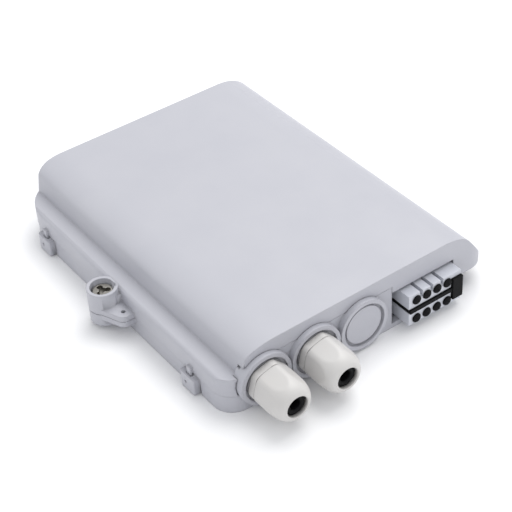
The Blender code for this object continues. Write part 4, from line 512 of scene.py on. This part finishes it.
def make_gland(number):
    """One gland: body, washer, lock nut, seal and dome nut, on the CAD's own axis."""
    name = "gland_%d_" % number
    low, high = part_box(name + "body")
    nut_low, nut_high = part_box(name + "dome_nut")
    washer_low, washer_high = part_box(name + "washer")
    seal_low, seal_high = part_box(name + "seal")
    axis_x = (nut_low.x + nut_high.x) / 2
    axis_z = (nut_low.z + nut_high.z) / 2
    nut_back = nut_high.y
    nut_length = nut_high.y - nut_low.y
    nut_flats = nut_high.z - nut_low.z
    crown = (nut_high.x - nut_low.x) / 2
    mouth = (seal_high.x - seal_low.x) / 2
    centre = (axis_x, nut_back, axis_z)

    hex_length = nut_length * NUT_HEX_SHARE
    sweep = np.radians(np.linspace(0, NUT_DOME_SWEEP, NUT_DOME_ROWS))
    dome_rise = nut_length - hex_length - 0.2 * MM
    dome = np.stack([hex_length + dome_rise * np.sin(sweep) ** NUT_DOME_RISE_POWER,
                     mouth + (crown - mouth) * np.cos(sweep) ** NUT_DOME_DRAW_POWER], -1)
    rim = [(nut_length - 0.05 * MM, mouth + 1.15 * MM), (nut_length, mouth + 0.7 * MM),
           (nut_length - 0.12 * MM, mouth + 0.28 * MM),
           (nut_length - 0.6 * MM, mouth + 0.02 * MM)]
    wall = crown - NUT_WALL
    inside = [(nut_length - NUT_LIP, mouth), (nut_length - 3 * NUT_LIP, wall), (0, wall)]
    back = [(0, crown - 0.9 * MM), (0.25 * MM, crown - 0.25 * MM), (0.9 * MM, crown)]
    skirt = filled(np.array([(0.9 * MM, crown), (hex_length, crown)]), 1.0 * MM)[1:-1]
    outline = np.concatenate([back, skirt, dome, rim, inside])
    fit(turned(name + "dome_nut_nylon", outline, centre, AHEAD,
               trim=flats(nut_flats, -MM, nut_length * NUT_FLATS_SHARE), sharp=TURNED_SHARP_ANGLE),
        name + "nut", "gland", gland_nylon, name + "dome_nut")

    seal_back = nut_back - seal_high.y
    side = mouth - SEAL_CLEAR
    nose = nut_length - SEAL_NOSE_DROP
    ribbed = np.arange(seal_back + 1.5 * MM, nose - 4.6 * MM, SEAL_RIB_PITCH)
    ribs = np.stack([np.repeat(ribbed, 3) + np.tile([0, 0.45, 0.9], len(ribbed)) * MM,
                     np.tile([0.0, -0.5, 0.0], len(ribbed)) * MM + side], -1)
    outer = np.concatenate([
        [(seal_back, mouth - 0.8 * MM), (seal_back + 0.4 * MM, side)], ribs,
        [(nose - 1.4 * MM, side), (nose - 0.4 * MM, mouth - 0.6 * MM),
         (nose, mouth - 1.6 * MM), (nose - 0.25 * MM, SEAL_BORE + 0.9 * MM),
         (nose - 0.9 * MM, SEAL_BORE + 0.15 * MM), (nose - 2 * MM, SEAL_BORE),
         (seal_back, SEAL_BORE)]])
    fit(turned(name + "seal_rubber", outer, centre, AHEAD, around=48),
        name + "plug", "seal_rubber", seal_rubber, name + "seal")

    tail = high.y
    thread_radius = (washer_high.x - washer_low.x) / 2 - WASHER_WIDTH
    flange_back = tail - (washer_low.y - 0.3 * MM)
    flange_front = flange_back + FLANGE_THICKNESS
    front = tail - low.y
    flange_crown = (high.x - low.x) / 2
    collet = thread_radius - 0.9 * MM
    body_line = eased([(0, GLAND_BORE), (0, thread_radius), (flange_back, thread_radius),
                       (flange_back, flange_crown), (flange_front, flange_crown),
                       (flange_front, collet), (front, collet - 1.2 * MM),
                       (front, GLAND_BORE)], 0.5 * MM)
    body_line = filled(body_line, 0.2 * MM)
    hexagonal = flats(high.z - low.z, flange_back - 0.1 * MM, flange_front + 0.1 * MM)

    def gland_trim(radius, distance, angle):
        """A hexagonal flange, and behind it a thread: the radius dips once in each pitch.

        The dip's phase is the distance over the pitch less the angle over a full turn, so
        the groove climbs as it goes round. It fades out at the two ends of the tail.
        """
        phase = 2 * np.pi * distance / THREAD_PITCH - angle
        fade = np.clip(distance / MM, 0, 1) * np.clip((flange_back - distance) / MM, 0, 1)
        groove = THREAD_DEPTH * (0.5 + 0.5 * np.cos(phase)) * fade
        threaded = (distance < flange_back) & (radius > GLAND_BORE + MM)
        return hexagonal(np.where(threaded, radius - groove, radius), distance, angle)

    fit(turned(name + "body_nylon", body_line, (axis_x, tail, axis_z), AHEAD,
               trim=gland_trim, sharp=TURNED_SHARP_ANGLE),
        "base", "gland", gland_nylon, name + "body")
    fit(merged(name + "locknut", name + "locknut_nylon"), "base", "gland", gland_nylon,
        name + "locknut")
    fit(merged(name + "washer", name + "washer_rubber"), "base", "seal_rubber", washer_rubber,
        name + "washer")


make_gland(1)
make_gland(2)


# --------------------------------------------------------------------------------------
# Drop outlet block
# Two white halves clamp a black rubber strip between them. Each half has four outlets,
# open fingers over the upper ones, and every outlet is shut by a domed rubber bung.
# --------------------------------------------------------------------------------------
outlet_white = moulded("outlet_white", (0.60, 0.615, 0.67, 1), (0.58, 0.597, 0.65, 1),
                       (0.77, 0.785, 0.82, 1), (0.42, 0.42, 0.43, 1),
                       roughness=0.38, grain=2200.0, peel=240.0, depth=0.00006,
                       edge=0.0004, shade_and_dust_share=0.3, gloss=0.5, texture=0.25)

for half in ("lower", "upper"):
    fit(merged("drop_housing_" + half, "drop_%s_moulding" % half), "base", "outlet",
        outlet_white, "drop_housing_" + half)
fit(merged("drop_seal_strip", "drop_strip_rubber"), "base", "seal_rubber", seal_rubber,
    "drop_seal_strip")

BUNG_RISE = 2.2 * MM
BUNG_GROOVE = 0.6 * MM
BUNG_COLUMNS = (1, 2, 3, 4)


def make_bung(half, number):
    """A bung: a domed head with a pull nib, a groove behind it and a ribbed plug."""
    node = "drop_bung_%s_%d" % (half, number)
    low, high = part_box(node)
    head = (high.x - low.x) / 2
    plug = head - BUNG_GROOVE
    length = high.y - low.y
    neck = length - BUNG_RISE
    sweep = np.radians(np.linspace(0, 75, 10))
    dome = np.stack([neck + (BUNG_RISE - 0.45 * MM) * np.sin(sweep), head * np.cos(sweep)], -1)
    ribs = [(neck - 0.2 * MM, plug - 0.25 * MM), (neck - 1.2 * MM, plug - 0.25 * MM),
            (neck - 1.6 * MM, plug), (neck - 2.6 * MM, plug), (neck - 3 * MM, plug - 0.3 * MM),
            (neck - 4 * MM, plug - 0.3 * MM), (neck - 4.4 * MM, plug),
            (1.2 * MM, plug), (0.2 * MM, plug - 0.7 * MM), (0, 0)]
    nib = [(length, 0), (length - 0.05 * MM, 0.55 * MM), (length - 0.45 * MM, 0.8 * MM)]
    outline = np.concatenate([nib, dome[::-1], ribs])
    centre = ((low.x + high.x) / 2, high.y, (low.z + high.z) / 2)
    fit(turned(node + "_rubber", outline, centre, AHEAD, around=32, loop=False,
               sharp=TURNED_SHARP_ANGLE), "base", "seal_rubber", seal_rubber, node)


for half in ("lower", "upper"):
    for number in BUNG_COLUMNS:
        make_bung(half, number)


# --------------------------------------------------------------------------------------
# Inside fittings
# Two cable clamps with slotted steel screws, a splitter in a folded steel case, and eight
# blue adapters snapped into a bent steel bracket between the base's stops.
# --------------------------------------------------------------------------------------
tray_white = moulded("tray_white", (0.66, 0.68, 0.70, 1), (0.64, 0.66, 0.685, 1),
                     (0.76, 0.77, 0.79, 1), (0.38, 0.37, 0.36, 1),
                     roughness=0.42, grain=2000.0, peel=200.0, depth=0.00008,
                     edge=0.0004, shade_and_dust_share=0.35, texture=0.3)
adapter_blue = moulded("adapter_blue", (0.012, 0.10, 0.42, 1), (0.010, 0.088, 0.38, 1),
                       (0.06, 0.18, 0.52, 1), (0.07, 0.09, 0.16, 1),
                       roughness=0.36, grain=2400.0, peel=300.0, depth=0.00005,
                       edge=0.0003, shade_and_dust_share=0.3, texture=0.25)

# Drawn metal: fine scratches stretched along one axis, as a height and a mask.
drawn_metal, ends, out = node_group(
    "drawn_metal", {"Along X": 60.0, "Along Y": 2600.0, "Along Z": 2600.0},
    {"Height": "NodeSocketFloat", "Streaks": "NodeSocketFloat"})
spot = drawn_metal.nodes.new("ShaderNodeTexCoord")
stretch = drawn_metal.nodes.new("ShaderNodeCombineXYZ")
for label, socket in zip(("Along X", "Along Y", "Along Z"), stretch.inputs):
    drawn_metal.links.new(ends.outputs[label], socket)
pulled = drawn_metal.nodes.new("ShaderNodeVectorMath")
pulled.operation = "MULTIPLY"
drawn_metal.links.new(spot.outputs["Object"], pulled.inputs[0])
drawn_metal.links.new(stretch.outputs["Vector"], pulled.inputs[1])
scratches = drawn_metal.nodes.new("ShaderNodeTexNoise")
scratches.inputs["Scale"].default_value = 1.0
scratches.inputs["Detail"].default_value = 3.0
drawn_metal.links.new(pulled.outputs["Vector"], scratches.inputs["Vector"])
drawn_metal.links.new(scratches.outputs["Fac"], out.inputs["Height"])
streak = sum_node(drawn_metal, "SUBTRACT", scratches.outputs["Fac"], 0.35)
drawn_metal.links.new(sum_node(drawn_metal, "MULTIPLY", streak, 3.0, True),
                      out.inputs["Streaks"])

METAL_SHADE_AND_DUST_REACH = 0.0015
METAL_SHADE_AND_DUST = (0.05, 0.045, 0.04, 1)
STREAK_ROUGHNESS = 0.14


def metal(name, colour, dull, bright, roughness, stretch, edge=0.0003, depth=0.00002):
    """A drawn or turned metal: streaks in its colour and gloss, bright edges that are a painted
    highlight and wear, and corners darkened as painted shade and dust.
    """
    material = bpy.data.materials.new(name)
    material.use_nodes = True
    tree = material.node_tree
    shader = tree.nodes["Principled BSDF"]
    drawn = use_group(tree, drawn_metal, **dict(zip(("Along X", "Along Y", "Along Z"),
                                                   stretch)))
    edge_round = use_group(tree, rounded_edge, Radius=edge)
    shade_and_dust_mask = use_group(tree, corner_shade_and_dust, Reach=METAL_SHADE_AND_DUST_REACH)
    body = tint(tree, drawn.outputs["Streaks"], 0.8, colour, dull)
    # Edges painted brighter: a painted highlight together with wear.
    body = tint(tree, edge_round.outputs["Edge"], 0.7, body, bright)
    # Tight corners painted darker by the occlusion mask: painted shade, with dust.
    body = tint(tree, shade_and_dust_mask.outputs["Shade_and_dust"], 0.5, body, METAL_SHADE_AND_DUST)
    tree.links.new(body, shader.inputs["Base Color"])
    rough = sum_node(tree, "MULTIPLY", drawn.outputs["Streaks"], STREAK_ROUGHNESS)
    tree.links.new(sum_node(tree, "ADD", rough, roughness), shader.inputs["Roughness"])
    relief = tree.nodes.new("ShaderNodeBump")
    relief.inputs["Strength"].default_value = 0.5
    relief.inputs["Distance"].default_value = depth
    tree.links.new(drawn.outputs["Height"], relief.inputs["Height"])
    tree.links.new(edge_round.outputs["Normal"], relief.inputs["Normal"])
    tree.links.new(relief.outputs["Normal"], shader.inputs["Normal"])
    shader.inputs["Metallic"].default_value = 1.0
    return material


zinc_sheet = metal("zinc_sheet", (0.56, 0.57, 0.58, 1), (0.44, 0.45, 0.46, 1),
                   (0.75, 0.75, 0.76, 1), 0.30, (90.0, 1800.0, 1800.0))
screw_steel = metal("screw_steel", (0.60, 0.60, 0.60, 1), (0.46, 0.46, 0.47, 1),
                    (0.80, 0.80, 0.80, 1), 0.24, (2200.0, 2200.0, 300.0))

for number in (1, 2):
    node = "cable_clamp_%d" % number
    fit(merged(node, node + "_nylon"), "base", "tray", tray_white, node)
for number in (1, 2, 3, 4):
    node = "clamp_screw_%d" % number
    fit(merged(node, node + "_steel"), "base", "steel", screw_steel, node)
fit(merged("splitter_module", "splitter_case"), "base", "steel", zinc_sheet,
    "splitter_module")
fit(merged("adapter_bracket", "adapter_bracket_sheet"), "base", "steel", zinc_sheet,
    "adapter_bracket")
for number in range(1, 9):
    node = "adapter_%d" % number
    fit(merged(node, node + "_body"), "base", "adapter", adapter_blue, node)


# --------------------------------------------------------------------------------------
# Splice tray
# A shallow white tray on two steel pins, with two hubs that the bare fibre winds round. A
# black rubber comb glued to its floor grips eight splice sleeves.
# --------------------------------------------------------------------------------------
pin_steel = metal("pin_steel", (0.60, 0.60, 0.61, 1), (0.48, 0.48, 0.49, 1),
                  (0.82, 0.82, 0.82, 1), 0.22, (2600.0, 90.0, 2600.0))

fit(merged("splice_tray", "splice_tray_moulding"), "tray", "tray", tray_white,
    "splice_tray")
fit(merged("splice_holder", "splice_comb"), "tray", "seal_rubber", seal_rubber,
    "splice_holder")
for side in ("front", "back"):
    fit(merged("tray_pin_" + side, "tray_pin_%s_steel" % side), "base", "steel", pin_steel,
        "tray_pin_" + side)

sleeve_clear = bpy.data.materials.new("sleeve_clear")
sleeve_clear.use_nodes = True
tree = sleeve_clear.node_tree
shader = tree.nodes["Principled BSDF"]
skin = use_group(tree, mould_texture, Grain=900.0, Peel=260.0)
milky = tint(tree, skin.outputs["Clouds"], 1.0, (0.86, 0.87, 0.86, 1), (0.78, 0.79, 0.77, 1))
tree.links.new(milky, shader.inputs["Base Color"])
rough = sum_node(tree, "MULTIPLY", skin.outputs["Clouds"], 0.10)
tree.links.new(sum_node(tree, "ADD", rough, 0.12), shader.inputs["Roughness"])
ripple = tree.nodes.new("ShaderNodeBump")
ripple.inputs["Strength"].default_value = 0.3
ripple.inputs["Distance"].default_value = 0.0001
tree.links.new(skin.outputs["Height"], ripple.inputs["Height"])
tree.links.new(ripple.outputs["Normal"], shader.inputs["Normal"])
shader.inputs["Transmission Weight"].default_value = 0.75
shader.inputs["IOR"].default_value = 1.45

SLEEVE_ROD_SHARE = 0.42
SLEEVE_PINCH = 0.82
SLEEVE_COUNT = 8


def make_sleeve(number):
    """A splice sleeve: a clear tube, pinched at its ends, shrunk round a steel rod."""
    node = "splice_sleeve_%d" % number
    low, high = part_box(node)
    radius = (high.z - low.z) / 2
    length = high.x - low.x
    centre = (low.x, (low.y + high.y) / 2, (low.z + high.z) / 2)
    along = Vector((1, 0, 0))
    rod = radius * SLEEVE_ROD_SHARE
    tube = eased([(0, rod * 1.25), (0, radius * SLEEVE_PINCH), (2 * MM, radius),
                  (length - 2 * MM, radius), (length, radius * SLEEVE_PINCH),
                  (length, rod * 1.25)], 0.3 * MM)
    fit(turned(node + "_tube", tube, centre, along, around=28), "tray", "sleeve",
        sleeve_clear, node)
    steel = eased([(1.5 * MM, 0), (1.5 * MM, rod), (length - 1.5 * MM, rod),
                   (length - 1.5 * MM, 0)], 0.2 * MM, loop=False)
    fit(turned(node + "_rod", steel, centre, along, around=20, loop=False), "tray", "steel",
        pin_steel)


for number in range(1, SLEEVE_COUNT + 1):
    make_sleeve(number)


# --------------------------------------------------------------------------------------
# Cover
# The deep half of the box, moulded in the same grey ABS as the base: a flat roof, a round
# shoulder and a ledge on the lock side, and a long slope down to the hinge side. It turns
# on two steel pins pushed through its own and the base's knuckles.
# --------------------------------------------------------------------------------------
for side in ("front", "back"):
    fit(merged("hinge_pin_" + side, "hinge_pin_%s_steel" % side), "base", "steel",
        pin_steel, "hinge_pin_" + side)

fit(merged("cover_shell", "cover_moulding"), "cover", "shell", shell_grey, "cover_shell")


# --------------------------------------------------------------------------------------
# Lock
# A captive bolt in the cover's round cup, with a steel washer under its head. Its head
# has a three-lobed key recess, and it screws into a knurled brass insert in the base.
# --------------------------------------------------------------------------------------
KEY_LOBES = 3
KEY_LOBE_OUT = 3.1 * MM
KEY_LOBE_RADIUS = 1.7 * MM
KEY_DEPTH = 2.6 * MM
KEY_WALL = 0.12 * MM
KNURL_DEPTH = 0.22 * MM
KNURL_TURNS = 24
KNURL_SLANT = 3200
BOLT_SHANK = 3.0 * MM
BOLT_HEAD = 4.6 * MM
BOLT_PITCH = MM
BOLT_THREAD_DEPTH = 0.35 * MM

bolt_zinc = metal("bolt_zinc", (0.34, 0.325, 0.30, 1), (0.22, 0.21, 0.19, 1),
                  (0.62, 0.60, 0.56, 1), 0.27, (1500.0, 1500.0, 240.0))
insert_brass = metal("insert_brass", (0.62, 0.43, 0.17, 1), (0.46, 0.31, 0.11, 1),
                     (0.80, 0.62, 0.32, 1), 0.24, (2400.0, 2400.0, 200.0))

bolt_low, bolt_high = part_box("lock_bolt")
lock_axis = Vector(((bolt_low.x + bolt_high.x) / 2, (bolt_low.y + bolt_high.y) / 2, 0))
head_radius = (bolt_high.x - bolt_low.x) / 2
head_under = bolt_high.z - BOLT_HEAD
face = np.linspace(head_radius - 0.5 * MM, 0, 44)
bolt_line = np.concatenate([
    [(bolt_low.z, 0), (bolt_low.z, BOLT_SHANK - 0.8 * MM), (bolt_low.z + 0.8 * MM, BOLT_SHANK)],
    filled(np.array([(bolt_low.z + 0.8 * MM, BOLT_SHANK), (head_under, BOLT_SHANK)]), 0.2 * MM)[1:],
    [(head_under, head_radius - 0.3 * MM), (head_under + 0.3 * MM, head_radius),
     (bolt_high.z - 0.5 * MM, head_radius), (bolt_high.z - 0.15 * MM,
                                             head_radius - 0.15 * MM)],
    np.stack([np.full(face.shape, bolt_high.z), face], -1)])


def bolt_surface(outline, around):
    """The bolt: rings about its axis, with the key recess let into its top.

    The recess goes down by its depth times a step of the distance to the nearest of three
    lobe circles, from 1 inside to 0 outside over the width of its wall. The thread on the
    shank is a groove whose phase is the height over the pitch less the angle.
    """
    angle = np.linspace(0, 2 * np.pi, around, endpoint=False)
    height = np.repeat(outline[:, 0, None], around, axis=1)
    radius = np.repeat(outline[:, 1, None], around, axis=1)
    lobe = np.arange(KEY_LOBES) * 2 * np.pi / KEY_LOBES + np.pi / 2
    x = radius * np.cos(angle)
    y = radius * np.sin(angle)
    reach = np.hypot(x[..., None] - KEY_LOBE_OUT * np.cos(lobe),
                     y[..., None] - KEY_LOBE_OUT * np.sin(lobe)).min(-1)
    reach = np.minimum(reach, radius - KEY_LOBE_RADIUS * 0.2)
    sunk = np.clip((KEY_LOBE_RADIUS - reach) / KEY_WALL + 0.5, 0, 1)
    sunk = sunk * sunk * (3 - 2 * sunk)
    on_top = height > bolt_high.z - 0.05 * MM
    height = np.where(on_top, height - KEY_DEPTH * sunk, height)
    threaded = (height < head_under - 2 * MM) & (radius > BOLT_SHANK * 0.9)
    phase = 2 * np.pi * height / BOLT_PITCH - angle
    groove = BOLT_THREAD_DEPTH * (0.5 + 0.5 * np.cos(phase))
    radius = np.where(threaded, radius - groove, radius)
    return np.stack([lock_axis.x + radius * np.cos(angle),
                     lock_axis.y + radius * np.sin(angle), height], -1)


fit(show("lock_bolt_zinc", grid_surface("lock_bolt_zinc", bolt_surface(bolt_line, 120),
                                        False)), "lock_screw", "bolt", bolt_zinc,
    "lock_bolt")
fit(merged("lock_washer", "lock_washer_steel"), "lock_washer_ring", "steel", screw_steel,
    "lock_washer")


def knurl(radius, distance, angle):
    """Diamond knurling: the outside dips where two opposite families of lines cross.

    Each family is a sine of many turns round the insert, one climbing and one falling.
    """
    lines = np.maximum(np.sin(KNURL_TURNS * angle + distance * KNURL_SLANT),
                       np.sin(KNURL_TURNS * angle - distance * KNURL_SLANT))
    return np.where(radius > BOLT_SHANK * 1.3, radius - KNURL_DEPTH * (0.5 - 0.5 * lines), radius)


insert_low, insert_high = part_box("lock_insert")
insert_radius = (insert_high.x - insert_low.x) / 2
insert_bore = BOLT_SHANK + 0.5 * MM
insert_line = filled(eased([(0, insert_bore), (0, insert_radius),
                            (insert_high.z - insert_low.z, insert_radius),
                            (insert_high.z - insert_low.z, insert_bore)], 0.3 * MM),
                     0.25 * MM)
fit(turned("lock_insert_brass", insert_line, (lock_axis.x, lock_axis.y, insert_low.z),
           Vector((0, 0, 1)), around=192, trim=knurl), "base", "brass", insert_brass,
    "lock_insert")
